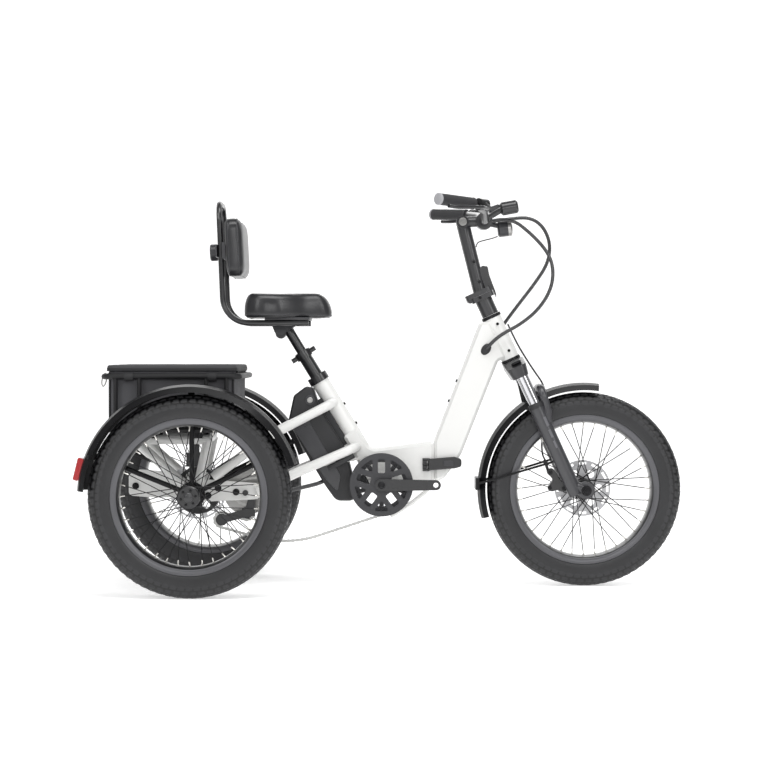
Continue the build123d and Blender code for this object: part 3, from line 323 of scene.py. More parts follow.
def fitted(name, points, faces, material, body, slot, smooth=True):
    """A finished piece: points in millimetres from the ground under the rear axle."""
    obj = weld(mesh_object(name, at(points), faces, material, smooth))
    obj.data.polygons.foreach_set("use_smooth", [smooth] * len(obj.data.polygons))
    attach(obj, body)
    return obj


def creased(obj, angle=35.0):
    """Smooth shading that keeps edges sharper than the angle."""
    obj.data.set_sharp_from_angle(angle=radians(angle))
    return obj


def studs(name, profile, places, directions, material, body, slot, angle=35.0):
    """One turned part, copied to each place with its Z along that place's direction, as one piece."""
    return creased(fitted(name, *copies(*profile, places, directions), material, body, slot), angle)


def carried(outline, path, up, closed=False):
    """A closed outline of (side, rise) pairs carried along a path. Point (i, j) is path_i plus side_j
    along the path's own sideways axis, which is square to its tangent and to the up direction,
    plus rise_j along the axis square to both."""
    path = np.asarray(path, float)
    if closed:
        tangent = np.roll(path, -1, axis=0) - np.roll(path, 1, axis=0)
    else:
        tangent = np.gradient(path, axis=0)
    tangent = unit(tangent)
    side = unit(np.cross(tangent, np.broadcast_to(up, path.shape)))
    rise = np.cross(side, tangent)
    outline = np.asarray(outline, float)
    points = path[:, None] + side[:, None] * outline[None, :, :1] + rise[:, None] * outline[None, :, 1:]
    faces = [tuple(f) for f in grid_faces(len(path), len(outline), closed, True)]
    if not closed:
        last = (len(path) - 1) * len(outline)
        faces += [tuple(range(len(outline))), tuple(range(last + len(outline) - 1, last - 1, -1))]
    return points.reshape(-1, 3), faces


def circle(radius, count=16):
    """Points of a circle, as (side, rise) pairs."""
    t = np.arange(count) * 2 * pi / count
    return np.stack([radius * np.cos(t), radius * np.sin(t)], axis=1)


pearl_white = finish("pearl_white_powder_coat", "#dbdbd9", 0.9, 0.012, 0.34, 0.03, Coat_Weight=0.5,
                     Coat_Roughness=0.08)
dress(pearl_white, "main_frame_rear", "main_frame_front", "frame_stays", "axle_cradle")

black_steel = finish("black_oxide_steel", "#1d1d1f", 0.6, 0.01, 0.38, 0.12, Metallic=0.6)
socket_head = turned([(-3, 0), (-3, 4.2), (0, 4.2), (3.2, 4.2), (4.0, 3.5), (4.0, 2.2), (1.6, 2.0),
                      (1.6, 0)], 18)

seat_back_lean = radians(31.5)
seat_up = np.array([-sin(seat_back_lean), 0, cos(seat_back_lean)])
seat_front = np.array([cos(seat_back_lean), 0, sin(seat_back_lean)])
seat_top = np.array([342.0, 0, 579.0])
post_screws = [seat_top - seat_up * down + seat_front * 25.2 for down in (88.0, 152.0)]
fitted("boss_screws_rear", *copies(*socket_head, post_screws, [seat_front] * 2), black_steel,
       "rear_frame", "black_alloy")
down_dir = np.array([-0.93, 0, 0.366])
front_screws = [(730.8, 0, 582), (708.9, 0, 525)]
fitted("boss_screws_front", *copies(*socket_head, front_screws, [down_dir] * 2), black_steel,
       "front_frame", "black_alloy")
side_screws = [(844.5, -25.4, 743.7), (877, -25.4, 668.3)]
fitted("side_screws", *copies(*socket_head, side_screws, [(0, -1, 0)] * 2), black_steel, "front_frame",
       "black_alloy")

# The head tube's bearings sit in two polished rings, and a rubber collar closes each cable port.
bearing_ring = turned([(-4.5, 26.1), (-4.5, 27.4), (-3.6, 28.2), (3.6, 28.2), (4.5, 27.4), (4.5, 26.1)], 64)
rings = [head_top - head_up * 5.0, head_top - head_up * 139.0]
studs("bearing_rings", bearing_ring, rings, [head_up] * 2, black_steel, "front_frame", "black_alloy")
soft_rubber = finish("moulded_rubber", "#232325", 1.2, 0.03, 0.62, 0.12)
boot = turned([(-2, 1.0), (1.6, 1.0), (4.2, 0.86), (6.2, 0.6), (7.2, 0.34), (7.2, 0.0)], 40)
lean = radians(53.0)
for side, hand in hands:
    long, wide = boot[0][:, 0] * 18.0, boot[0][:, 1] * 12.5
    ahead = long * cos(lean) - wide * sin(lean)
    shape = np.column_stack([-side * ahead, long * sin(lean) + wide * cos(lean), boot[0][:, 2]])
    creased(fitted("cable_boot_" + hand, *copies(shape, boot[1], [(812, side * 29.6, 672)], [(0, side, 0)]),
                   soft_rubber, "front_frame", "cable_jacket"), 50)


def run_along(path):
    """The distance along a path to each of its points."""
    return np.concatenate([[0], np.cumsum(np.linalg.norm(np.diff(path, axis=0), axis=1))])


def bead_round(path, up, wide):
    """A weld bead: a small outline carried along the joint, its radius rippled once every 5 mm."""
    path = np.asarray(path, float)
    run = run_along(path)
    points, faces = carried(circle(wide, 8), path, up)
    ripple = 1 + 0.16 * np.sin(run * 2 * pi / 5.0)
    grid = points.reshape(len(path), 8, 3)
    return (path[:, None] + (grid - path[:, None]) * ripple[:, None, None]).reshape(-1, 3), faces


def ring_path(centre, axis, radius, start=0.0, end=360.0, count=120):
    """Points of an arc about an axis."""
    axes = turn_to([axis])[0]
    t = np.radians(np.linspace(start, end, count))
    return np.asarray(centre) + radius * (np.cos(t)[:, None] * axes[:, 0] + np.sin(t)[:, None] * axes[:, 1])


for side, hand in hands:
    joint = ring_path((crank_x, side * 36.8, crank_z), (0, 1, 0), 31.0)
    fitted("bottom_bracket_weld_" + hand, *bead_round(joint[:-1], (0, 1, 0), 1.6), pearl_white,
           "rear_frame", "white_paint")

# ------------------------------------------------------------ front fork
# Magnesium sliders and a forged crown in satin dark grey, on chromed stanchions with a rubber wiper
# at the top of each slider. Three short grey bands run down the outside of each slider.

satin_grey = finish("satin_dark_grey_enamel", "#29292b", 0.8, 0.012, 0.36, 0.08, Coat_Weight=0.3)
fork_grey = finish("satin_fork_enamel", "#38383b", 0.8, 0.012, 0.34, 0.08, Coat_Weight=0.3)
hard_chrome = finish("hard_chrome_plate", "#c9c9cc", 2.0, 0.002, 0.12, 0.1, Metallic=1.0)
dress(satin_grey, "fork_upper", "post_base", "handlepost")
dress(fork_grey, "fork_lower")
dress(hard_chrome, "fork_stanchions")

crown_down, leg_ahead, leg_apart, slider_radius = 194.0, 6.0, 66.0, 21.0


def leg_at(down, side):
    """A point down a fork leg from the underside of the crown."""
    aside = np.array([0, side * leg_apart, 0])
    return head_top - head_up * (crown_down + down) + head_ahead * leg_ahead + aside


wiper = turned([(-2, 17.2), (-2, 22.6), (7, 22.8), (9, 22.0), (13, 19.0), (13.6, 17.2)], 40)
wipers = [leg_at(96, side) for side in (-1, 1)]
studs("fork_wipers", wiper, wipers, [head_up] * 2, soft_rubber, "steering", "black_alloy")

cap_top = turned([(0, 0), (0, 15.5), (3.5, 15.5), (5.0, 14.0), (5.0, 6.5), (3.0, 6.0), (3.0, 0)], 40)
caps = [leg_at(-41, side) for side in (-1, 1)]
studs("fork_caps", cap_top, caps, [head_up] * 2, black_steel, "steering", "black_alloy")

band_grey = finish("printed_grey_bands", "#5c5c60", 1.0, 0.004, 0.45, 0.05)


def leg_band(side, start, end, low, high):
    """A patch of the slider's surface: a cylinder's points from one angle to another, 0.25 mm proud."""
    down = np.linspace(start, end, 24)
    turn = np.radians(np.linspace(low, high, 12))
    out = np.array([0, side, 0])
    around = np.cos(turn)[:, None] * out + np.sin(turn)[:, None] * head_ahead
    rows = np.array([leg_at(d, side) for d in down])
    return (rows[:, None] + (slider_radius + 0.25) * around[None]).reshape(-1, 3), grid_faces(24, 12)


for side, hand in hands:
    for number, (start, end, low, high) in enumerate(((128, 156, 10, 34), (166, 190, 6, 26),
                                                      (200, 222, 4, 20))):
        points, faces = leg_band(side, start, end, low, high)
        band = mesh_object(f"fork_band_{hand}_{number}", at(points), faces, band_grey)
        wall = band.modifiers.new("film", "SOLIDIFY")
        wall.thickness = 0.0003
        wall.offset = 0
        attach(band, "steering")


def both_sides(x, y, z):
    """The same place on the right and on the left."""
    return [(x, -y, z), (x, y, z)]


wheelbase, wheel_radius = 1091, 275
axle_nut = turned([(0, 0), (0, 11.5), (6, 11.5), (7.5, 10.0), (7.5, 6.0), (12, 5.4), (13, 4.6), (13, 0)], 6)
axle_washer = turned([(0, 0), (0, 14.5), (2, 14.5), (2, 0)], 40)
nut_places, nut_ways = both_sides(wheelbase, 93, wheel_radius), both_sides(0, 1, 0)
fitted("front_axle_nuts", *copies(*axle_nut, nut_places, nut_ways), black_steel, "steering", "black_alloy",
       smooth=False)
studs("front_axle_washers", axle_washer, nut_places, nut_ways, black_steel, "steering", "black_alloy")

# ------------------------------------------------------------ tyres
# Black rubber on a fat 20 inch casing: a smooth sidewall ends in a scalloped step where the tread was
# laid on, and above it staggered blocks run up over the shoulder and across the crown.

tyre_line = [(30, 206.8), (33.5, 209.5), (35.3, 214), (36.6, 224), (37.0, 233), (36.9, 241), (36.3, 248),
             (34.6, 255), (31.6, 261), (27.0, 266), (20.5, 269.6), (12, 271.6), (0.0, 272.2)]
blocks_round = 72
columns_round = blocks_round * 9
groove_rise, block_rise = 0.9, 2.8
tread_half, row_pitch = 54.5, 12.5


def pulse(turns, share):
    """1 over the given share of each turn and 0 over the rest, with short slopes between."""
    return np.clip((np.cos(2 * pi * turns) - cos(pi * share)) * 4.0 + 0.5, 0, 1)


def tyre_surface():
    """The section is a rounded line through its corners, and the grid carries it round the axle. Each
    point moves out along the section's normal by the height of the tread: a pulse round the tyre times
    a pulse across it, on a band whose edge waves once a block. The last value picks the colour: 0 in
    the grooves, painted near black as shade, 1 on the blocks, a half on the sidewall, and near 1 along
    the band's edge, a painted highlight where the step catches the light."""
    corners = np.array(tyre_line + [(-y, r) for y, r in reversed(tyre_line[:-1])])
    run = run_along(corners)
    steps = np.linspace(0, run[-1], 87)
    y, r = (np.interp(steps, run, corners[:, k]) for k in (0, 1))
    for _ in range(2):
        y, r = (np.convolve(np.pad(a, 1, mode="edge"), [0.25, 0.5, 0.25], mode="valid") for a in (y, r))
    slope = np.stack([np.gradient(y), np.gradient(r)])
    slope /= np.linalg.norm(slope, axis=0)
    out_y, out_r = slope[1], -slope[0]
    if out_r[len(out_r) // 2] < 0:
        out_y, out_r = -out_y, -out_r
    from_crown = np.abs(steps - run[-1] / 2)
    turn = np.arange(columns_round)[:, None] / columns_round * blocks_round
    edge = tread_half + 1.5 * np.cos(2 * pi * turn)
    band = np.clip((edge - from_crown) / 1.6, 0, 1)
    row = from_crown / row_pitch
    shift = np.where(np.floor(row + 0.5) % 2 == 0, 0.0, 0.5)
    block = pulse(turn + shift, 0.72) * pulse(row, 0.7)
    height = band * (groove_rise + (block_rise - groove_rise) * block)
    angle = turn / blocks_round * 2 * pi
    # Painted highlight: a pale line along the tread's edge, where the raised step catches the light.
    line = np.exp(-((from_crown - edge) / 1.5) ** 2)
    # Painted shade: the grooves take the lowest value, which the material paints near black.
    shade = 0.5 * (1 - band) + band * block
    shade = shade + (1 - shade) * 0.8 * line
    radius = r + out_r * height
    points = np.stack([radius * np.cos(angle), np.broadcast_to(y, radius.shape) + out_y * height * 0.5,
                       radius * np.sin(angle)], axis=2)
    return points.reshape(-1, 3), grid_faces(columns_round, len(y), True, True), shade.ravel()


def tyre_material():
    """Rubber that is smooth and a little glossy on the sidewall, and rougher and paler on the tread's
    blocks.
    The grooves are painted near black as shade, and the tread's edge is painted pale as a highlight.
    """
    material, tree = blank("tyre_rubber")
    place = node(tree, "TexCoord").outputs["Object"]
    share = node(tree, "Attribute", {"attribute_name": "tread"}).outputs["Fac"]
    fine = node(tree, "TexNoise", Vector=place, Scale=900.0, Detail=3.0).outputs["Fac"]
    broad = node(tree, "TexNoise", Vector=place, Scale=14.0, Detail=6.0).outputs["Fac"]
    ramp = node(tree, "ValToRGB", Fac=share)
    # Painted shade: the grooves' colour is near black.
    ramp.color_ramp.elements[0].color = linear("#040405")
    ramp.color_ramp.elements[1].color = linear("#29292b")
    ramp.color_ramp.elements.new(0.5).color = linear("#1c1c1e")
    bright = node(tree, "MapRange", Value=broad, From_Min=0.3, From_Max=0.7, To_Min=0.82,
                  To_Max=1.16).outputs[0]
    shade = node(tree, "HueSaturation", Color=ramp.outputs[0], Value=bright).outputs[0]
    gloss = node(tree, "MapRange", Value=share, From_Min=0.5, To_Min=0.36, To_Max=0.62).outputs[0]
    relief = node(tree, "Bump", Height=fine, Strength=1.0, Distance=0.00006).outputs[0]
    shader = node(tree, "BsdfPrincipled", Base_Color=shade, Roughness=gloss, Normal=relief)
    node(tree, "OutputMaterial", Surface=shader.outputs[0])
    return material


tyre_rubber = tyre_material()
tyre_points, tyre_faces, tread_tone_and_painted_light = tyre_surface()
rear_half_track = 330
wheel_centres = {"front": (wheelbase, 0, wheel_radius), "rear_right": (0, -rear_half_track, wheel_radius),
                 "rear_left": (0, rear_half_track, wheel_radius)}
wheel_bodies = {"front": "front_wheel", "rear_right": "right_wheel", "rear_left": "left_wheel"}
for name, centre in wheel_centres.items():
    tyre = mesh_object("tread_tone_and_painted_light_" + name, at(tyre_points + np.array(centre)), tyre_faces, tyre_rubber)
    tread = tyre.data.attributes.new("tread", "FLOAT", "POINT")
    tread.data.foreach_set("value", tread_tone_and_painted_light.astype(np.float32))
    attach(weld(tyre), wheel_bodies[name])
    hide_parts("tyre_" + name)

# ------------------------------------------------------------ rims, spokes and hubs
# Extruded aluminium rims, bead blasted and anodised grey, with a raised flange and a black bed. The
# spokes are black steel, each with a bright nickelled brass nipple, with its head in the rim's bed.

grey_anodised = finish("grey_anodised_rim", "#59595c", 0.7, 0.012, 0.33, 0.06, Metallic=0.5)
black_enamel = finish("black_satin_enamel", "#161618", 0.8, 0.012, 0.34, 0.1, Coat_Weight=0.5,
                      Coat_Roughness=0.15)
nickel = finish("nickelled_brass", "#d6d4cf", 0.8, 0.004, 0.22, 0.08, Metallic=1.0)
dress(black_enamel, "hub_front", "hub_rear_right", "hub_rear_left", "axle_housing", "drive_hub")
rim_side = [(29.8, 206.3), (33.0, 207.0), (33.2, 211.6), (34.6, 212.0), (36.0, 211.2), (36.0, 208.0),
            (35.4, 198.5), (33.0, 195.4)]
rim_bed = [(33.0, 195.4), (28.0, 192.6), (19.0, 189.4), (10.0, 188.6), (0.0, 188.4)]
spoke_reach, hub_reach, spoke_lead = 187.8, 27.0, radians(62.0)
number = np.arange(36)
spoke_side = np.where(number % 2 == 0, 1, -1)
spoke_way = np.where(number % 4 < 2, 1, -1)
rim_angle = np.radians(number * 10.0)
hub_angle = rim_angle + spoke_way * spoke_lead
spoke_foot = np.stack([hub_reach * np.cos(hub_angle), spoke_side * 25.0 + spoke_way * 2.4,
                       hub_reach * np.sin(hub_angle)], axis=1)
spoke_tip = np.stack([spoke_reach * np.cos(rim_angle), spoke_side * 3.0, spoke_reach * np.sin(rim_angle)],
                     axis=1)
spoke_line = spoke_foot - spoke_tip
nipple = turned([(-1.0, 0), (-1.0, 2.9), (1.0, 2.9), (1.6, 2.0), (11.0, 1.9), (12.5, 1.4), (12.5, 0)], 8)
rim_turned = {}
for part, line in (("side", rim_side), ("bed", rim_bed)):
    whole = line if part == "side" else line + [(-y, r) for y, r in reversed(line[:-1])]
    rim_turned[part] = turned(whole, 180)
for name, centre in wheel_centres.items():
    body = wheel_bodies[name]
    flip = np.array([1.0, -1.0, 1.0])
    points, faces = rim_turned["side"]
    ring = points[:, [0, 2, 1]]
    both = np.concatenate([ring, ring * flip]) + np.array(centre)
    rim = creased(fitted("rim_flanges_" + name, both, np.concatenate([faces, faces + len(ring)]),
                         grey_anodised, body, "rim_alloy"), 50)
    points, faces = rim_turned["bed"]
    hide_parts("rim_" + name)
    fitted("rim_bed_" + name, points[:, [0, 2, 1]] + np.array(centre), faces, black_enamel, body,
           "rim_alloy")
    studs("spoke_nipples_" + name, nipple, spoke_tip + np.array(centre), spoke_line, nickel, body,
          "bright_steel")

hub_bolt = turned([(0, 0), (0, 3.6), (3, 3.6), (3.8, 3.0), (3.8, 1.8), (2, 1.6), (2, 0)], 12)
for name, side in (("rear_right", -1), ("rear_left", 1)):
    centre = np.array(wheel_centres[name])
    turn = np.radians(np.arange(6) * 60.0 + 12)
    spots = centre + np.stack([20 * np.cos(turn), np.full(6, side * 50.8), 20 * np.sin(turn)], axis=1)
    studs("hub_bolts_" + name, hub_bolt, spots, [(0, side, 0)] * 6, black_steel, wheel_bodies[name],
          "black_alloy")
    dome = turned([(0, 0), (0, 13.0), (4.0, 12.4), (6.6, 9.6), (7.6, 5.0), (7.8, 0)], 40)
    studs("hub_dust_cap_" + name, dome, [centre + np.array([0, side * 50.9, 0])], [(0, side, 0)],
          satin_grey, wheel_bodies[name], "black_alloy")

# ------------------------------------------------------------ brakes
# Stainless discs ground with fine rings. The rear one sits on a wide black carrier. The front calliper
# is a cast housing with its pads, an arm and three bolts, in black.

ground_steel = finish("ground_stainless_disc", "#b4b4b6", 0.5, 0.01, 0.32, 0.1, Metallic=0.85)


def carrier_disc():
    """The rear disc: black out to 66 mm from the axle, and ground steel beyond it."""
    material, tree = blank("disc_on_black_carrier")
    place = node(tree, "TexCoord").outputs["Object"]
    apart = node(tree, "VectorMath", {"operation": "SUBTRACT"}, _0=place,
                 _1=tuple(at([(0, 0, wheel_radius)])[0])).outputs[0]
    flat = node(tree, "VectorMath", {"operation": "MULTIPLY"}, _0=apart, _1=(1.0, 0, 1.0)).outputs[0]
    far = node(tree, "VectorMath", {"operation": "LENGTH"}, _0=flat).outputs["Value"]
    steel = node(tree, "MapRange", Value=far, From_Min=0.0655, From_Max=0.0665).outputs[0]
    phase = node(tree, "Math", {"operation": "MULTIPLY"}, _0=far, _1=9000.0).outputs[0]
    rings = node(tree, "Math", {"operation": "SINE"}, _0=phase).outputs[0]
    shade = node(tree, "Mix", {"data_type": "RGBA"}, _0=steel, _6=linear("#151517"), _7=linear("#bcbcbe"))
    relief = node(tree, "Bump", Height=rings, Strength=0.4, Distance=0.00002).outputs[0]
    gloss = node(tree, "MapRange", Value=steel, To_Min=0.4, To_Max=0.3).outputs[0]
    shader = node(tree, "BsdfPrincipled", Base_Color=shade.outputs[2], Metallic=steel, Roughness=gloss,
                  Normal=relief)
    node(tree, "OutputMaterial", Surface=shader.outputs[0])
    return material


dress(ground_steel, "rotor_front")
dress(carrier_disc(), "rotor_rear")
dress(black_enamel, "caliper_rear")


def rounded_outline(corners, rounding):
    """The corners joined by straight lines, each corner cut by a short curve."""
    corners = np.array(corners, float)
    outline = []
    for before, corner, after in zip(np.roll(corners, 1, axis=0), corners, np.roll(corners, -1, axis=0)):
        reach = [min(rounding, np.linalg.norm(way) * 0.45) / np.linalg.norm(way) for way in
                 (before - corner, after - corner)]
        first, last = corner + (before - corner) * reach[0], corner + (after - corner) * reach[1]
        t = np.linspace(0, 1, 6)[:, None]
        outline += list((1 - t) ** 2 * first + 2 * t * (1 - t) * corner + t ** 2 * last)
    return np.array(outline)


def closed_rings(rings):
    """Rings of equally many points, each joined to the next, with the first and the last one filled."""
    count = len(rings[0])
    last = (len(rings) - 1) * count
    faces = [tuple(f) for f in grid_faces(len(rings), count, round_columns=True)]
    return np.concatenate(rings), faces + [tuple(range(count)), tuple(range(last, last + count))]


def cast_plate(name, corners, rounding, y_from, y_to, edge, material, body, slot):
    """A plate between two places across the vehicle, its outline in X and Z, with a worn edge: the
    outline shrinks towards its middle at both faces."""
    outline = rounded_outline(corners, rounding)
    small = outline + unit(outline.mean(axis=0) - outline) * edge
    step = np.sign(y_to - y_from) * edge
    rows = [(small, y_from), (outline, y_from + step), (outline, y_to - step), (small, y_to)]
    points, faces = closed_rings([np.insert(line, 1, y, axis=1) for line, y in rows])
    return creased(fitted(name, points, faces, material, body, slot))


housing = [(984, 334), (998, 337), (1008, 326), (1019, 306), (1034, 290), (1040, 276), (1028, 268),
           (1012, 276), (996, 270), (984, 276), (990, 292), (1000, 303), (992, 314), (982, 322)]
cast_plate("front_calliper_body", housing, 6.0, -63.0, -34.0, 2.0, black_enamel, "steering", "black_alloy")
pad_box = [(1000, 316), (1020, 306), (1030, 284), (1012, 280), (998, 298)]
calliper = cast_plate("front_calliper_pads", pad_box, 4.0, -34.0, -26.0, 1.2, black_steel, "steering",
                      "black_alloy")
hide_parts("caliper_front")
arm = [(984, 322), (990, 326), (984, 350), (978, 362), (972, 360), (976, 346)]
cast_plate("front_calliper_arm", arm, 3.0, -61.0, -56.0, 1.2, black_steel, "steering", "black_alloy")
calliper_bolt = turned([(0, 0), (0, 6.0), (3.0, 6.0), (4.0, 5.0), (4.0, 2.6), (2.0, 2.4), (2.0, 0)], 16)
spots = [(992, -63, 325), (1030, -63, 280), (990, -63, 282)]
studs("front_calliper_bolts", calliper_bolt, spots, [(0, -1, 0)] * 3, black_steel, "steering",
      "black_alloy")

# ------------------------------------------------------------ mudguards and tail lamps
# Pressed steel sheet in deep gloss black with a rolled edge, and a red acrylic lamp on the back of
# each rear one, in a black housing.

gloss_black = finish("gloss_black_stove_enamel", "#0d0d0f", 1.0, 0.006, 0.38, 0.12, Coat_Weight=0.05,
                     Coat_Roughness=0.1, Specular_IOR_Level=0.22)
dress(gloss_black, "fender_front", "fender_rear_right", "fender_rear_left")
red_acrylic = finish("red_acrylic_lens", "#b3121a", 0.9, 0.02, 0.12, 0.15, Transmission_Weight=0.25,
                     IOR=1.49, Coat_Weight=0.7)
dress(red_acrylic, "tail_lamps")

sheet_bolt = turned([(0, 0), (0, 5.4), (1.6, 5.2), (2.8, 3.8), (3.4, 0)], 16)
bolt_turn, bolt_reach = radians(158), 288
for side, hand in hands:
    spot = (bolt_reach * cos(bolt_turn), side * (rear_half_track + 45.2),
            wheel_radius + bolt_reach * sin(bolt_turn))
    way = (0.7 * cos(bolt_turn), side * 0.72, 0.7 * sin(bolt_turn))
    studs("mudguard_bolt_" + hand, sheet_bolt, [spot], [way], black_steel, "rear_frame", "black_alloy")

# ------------------------------------------------------------ drive
# A moulded guard with five windows over a black chainring, forged black cranks whose pedal eyes are
# open, a zinc plated cassette, and a nickelled roller chain made of real links.

zinc_plate = finish("zinc_plated_steel", "#a9a8a6", 0.6, 0.01, 0.34, 0.12, Metallic=0.9)
moulded_black = finish("black_moulded_plastic", "#303033", 0.7, 0.02, 0.36, 0.08)
chain_steel = finish("nickelled_chain_steel", "#bdbdbb", 0.6, 0.01, 0.36, 0.1, Metallic=0.6)
dress(black_enamel, "crank_arms", "derailleur", "frame_latch", "handlepost_latch")
dress(moulded_black, "chain_guard")
dress(zinc_plate, "cassette")
chain_pitch, chain_middle = 12.7, -66.2
chain_wheels = [(135, 270, 35.3, 1), (crank_x, crank_z, 82.3, 1), (244, 432, 300.0, 1), (66, 192, 21.3, 1),
                (137, 212, 21.3, -1)]


def evenly(loop, count):
    """Points at equal steps along a closed loop in a plane, whose last point repeats its first."""
    run = run_along(loop)
    steps = np.arange(count) * run[-1] / count
    return np.stack([np.interp(steps, run, loop[:, k]) for k in (0, 1)], axis=1)


def chain_line():
    """The closed loop over its wheels, given as (x, z, radius, side): straight lines that touch two
    wheels in turn, and the arcs between them, as points at equal steps of about one pitch."""
    line = []
    for before, wheel, after in zip(chain_wheels[-1:] + chain_wheels[:-1], chain_wheels,
                                    chain_wheels[1:] + chain_wheels[:1]):
        touch = []
        for (x1, z1, r1, s1), (x2, z2, r2, s2) in ((before, wheel), (wheel, after)):
            apart = np.array([x2 - x1, z2 - z1])
            tilt = np.arcsin((s1 * r1 - s2 * r2) / np.linalg.norm(apart))
            touch.append(np.arctan2(apart[1], apart[0]) - tilt + pi / 2)
        x, z, r, side = wheel
        start, end = (angle if side > 0 else angle + pi for angle in touch)
        sweep_by = (side * (start - end)) % (2 * pi)
        t = start - side * np.linspace(0, sweep_by, max(2, int(sweep_by * r / 2)))
        line.append(np.stack([x + r * np.cos(t), z + r * np.sin(t)], axis=1))
    line = np.concatenate(line)
    line = np.concatenate([line, line[:1]])
    return evenly(line, 2 * round(run_along(line)[-1] / chain_pitch / 2))


def chain_links():
    """At each pin a roller, and between two pins a pair of waisted plates, wide and narrow in turn."""
    pins = chain_line()
    t = np.arange(16) * 2 * pi / 16
    lobe = np.stack([4.1 * np.cos(t), 4.1 * np.sin(t)], axis=1)
    right, left = lobe[[12, 13, 14, 15, 0, 1, 2, 3, 4]], lobe[4:13]
    plate = np.concatenate([right + (chain_pitch / 2, 0), [(0, 2.9)], left - (chain_pitch / 2, 0),
                            [(0, -2.9)]])
    points, faces = [], []
    for i, (pin, following) in enumerate(zip(pins, np.roll(pins, -1, axis=0))):
        ahead = unit(following - pin)
        across = np.array([-ahead[1], ahead[0]])
        spot = (pin + following) / 2 + plate[:, :1] * ahead + plate[:, 1:] * across
        inner = 2.0 if i % 2 else 1.1
        for side in (-1, 1):
            for y in (inner, inner + 0.8):
                points += [(x, chain_middle + side * y, z) for x, z in spot]
            first = len(points) - 2 * len(plate)
            ring = np.arange(len(plate)) + first
            faces += [tuple(ring[::side]), tuple((ring + len(plate))[::-side])]
            for a, b in zip(ring, np.roll(ring, -1)):
                faces.append((a, b, b + len(plate), a + len(plate)))
    roller = turned([(-2.2, 0), (-2.2, 3.6), (2.2, 3.6), (2.2, 0)], 8)
    spots = [(x, chain_middle, z) for x, z in pins]
    roller_points, roller_faces = copies(*roller, spots, [(0, 1, 0)] * len(spots))
    faces += [tuple(f) for f in np.asarray(roller_faces) + len(points)]
    return np.concatenate([points, roller_points]), faces


links = fitted("chain_links", *chain_links(), chain_steel, "rear_frame", "bright_steel", smooth=False)
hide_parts("chain")

domed_bolt = turned([(0, 0), (0, 9.6), (2.6, 9.6), (4.4, 8.2), (5.4, 5.4), (4.4, 4.6), (4.4, 0)], 24)
plate_bolts = [(-172.7, 289), (58.3, 283), (108.7, 272), (30.3, 262)]
spots = [(x, side * 98.2, z) for side in (-1, 1) for x, z in plate_bolts]
ways = [(0, side, 0) for side in (-1, 1) for _ in plate_bolts]
studs("cradle_bolts", domed_bolt, spots, ways, black_steel, "rear_frame", "black_alloy")
guard_bolt = turned([(0, 0), (0, 5.6), (2.4, 5.0), (3.4, 3.4), (3.4, 0)], 14)
turn = np.radians(90 + 36 + 72 * np.arange(5))
spots = [(crank_x + 66 * cos(a), -97.2, crank_z + 66 * sin(a)) for a in turn]
studs("guard_bolts", guard_bolt, spots, [(0, -1, 0)] * 5, black_steel, "crankset", "black_alloy")
latch_button = [(691, 342), (719, 342), (719, 357), (691, 357)]
cast_plate("frame_latch_button", latch_button, 4.0, -47.0, -50.0, 0.8, moulded_black, "rear_frame",
           "black_alloy")
crank_cap = turned([(0, 0), (0, 10.5), (1.6, 10.0), (2.2, 7.0), (1.4, 6.0), (1.4, 0)], 28)
studs("crank_caps", crank_cap, both_sides(crank_x, 118.2, crank_z), both_sides(0, 1, 0), black_steel,
      "crankset", "black_alloy")

# ------------------------------------------------------------ battery
# A moulded case in matt black on a dock behind the seat tube, with a smoother, paler panel let into
# each side, a bright key lock, and a charging port under a rubber flap.

battery_black = finish("matt_black_case", "#202022", 0.9, 0.03, 0.5, 0.08)
panel_grey = finish("smooth_dark_grey_panel", "#333336", 1.4, 0.008, 0.28, 0.06, Coat_Weight=0.3)
dress(battery_black, "battery_pack", "battery_dock")
panel_outline = [(266, 449), (304, 481), (402, 312), (392, 270), (362, 300), (316, 372)]
for side, hand in hands:
    cast_plate("battery_panel_" + hand, panel_outline, 9.0, side * 46.0, side * 48.4, 1.0, panel_grey,
               "rear_frame", "battery_plastic")
lock_place = (314, -46.9, 528)
lock_ring = turned([(0, 0), (0, 14.0), (1.4, 14.0), (2.0, 13.2), (2.0, 8.6), (1.2, 8.6), (1.2, 0)], 36)
key_lock = turned([(0, 0), (0, 8.2), (2.0, 8.2), (2.8, 7.2), (2.8, 5.6), (1.6, 5.2), (1.6, 0)], 32)
studs("battery_lock_ring", lock_ring, [lock_place], [(0, -1, 0)], moulded_black, "rear_frame",
      "battery_plastic")
studs("battery_lock", key_lock, [lock_place], [(0, -1, 0)], zinc_plate, "rear_frame", "bright_steel")
port_flap = turned([(0, 0), (0, 12.5), (1.8, 12.2), (2.6, 10.8), (2.8, 0)], 32)
studs("charging_flap", port_flap, [(290, 46.9, 500)], [(0, 1, 0)], soft_rubber, "rear_frame", "grip_rubber")
harness = [(196, -34, 262), (230, -38, 266), (262, -38, 274), (306, -34, 284), (346, -28, 294),
           (366, -20, 306)]
tube_along("battery_harness", harness, 6.0, spiral_wrap, "rear_frame")
sleeve = [(366, -80, 338), (384, -84, 346), (404, -85, 356), (424, -84, 366), (438, -80, 373)]
tube_along("stay_sleeve", sleeve, 7.5, soft_rubber, "rear_frame")

# ------------------------------------------------------------ basket and bag
# A rack of welded steel tube in black powder coat holds a bag of grey polyester canvas, with black
# cord piped into its seams, a stiff lid bound in tape, and straps of webbing round the top rail.

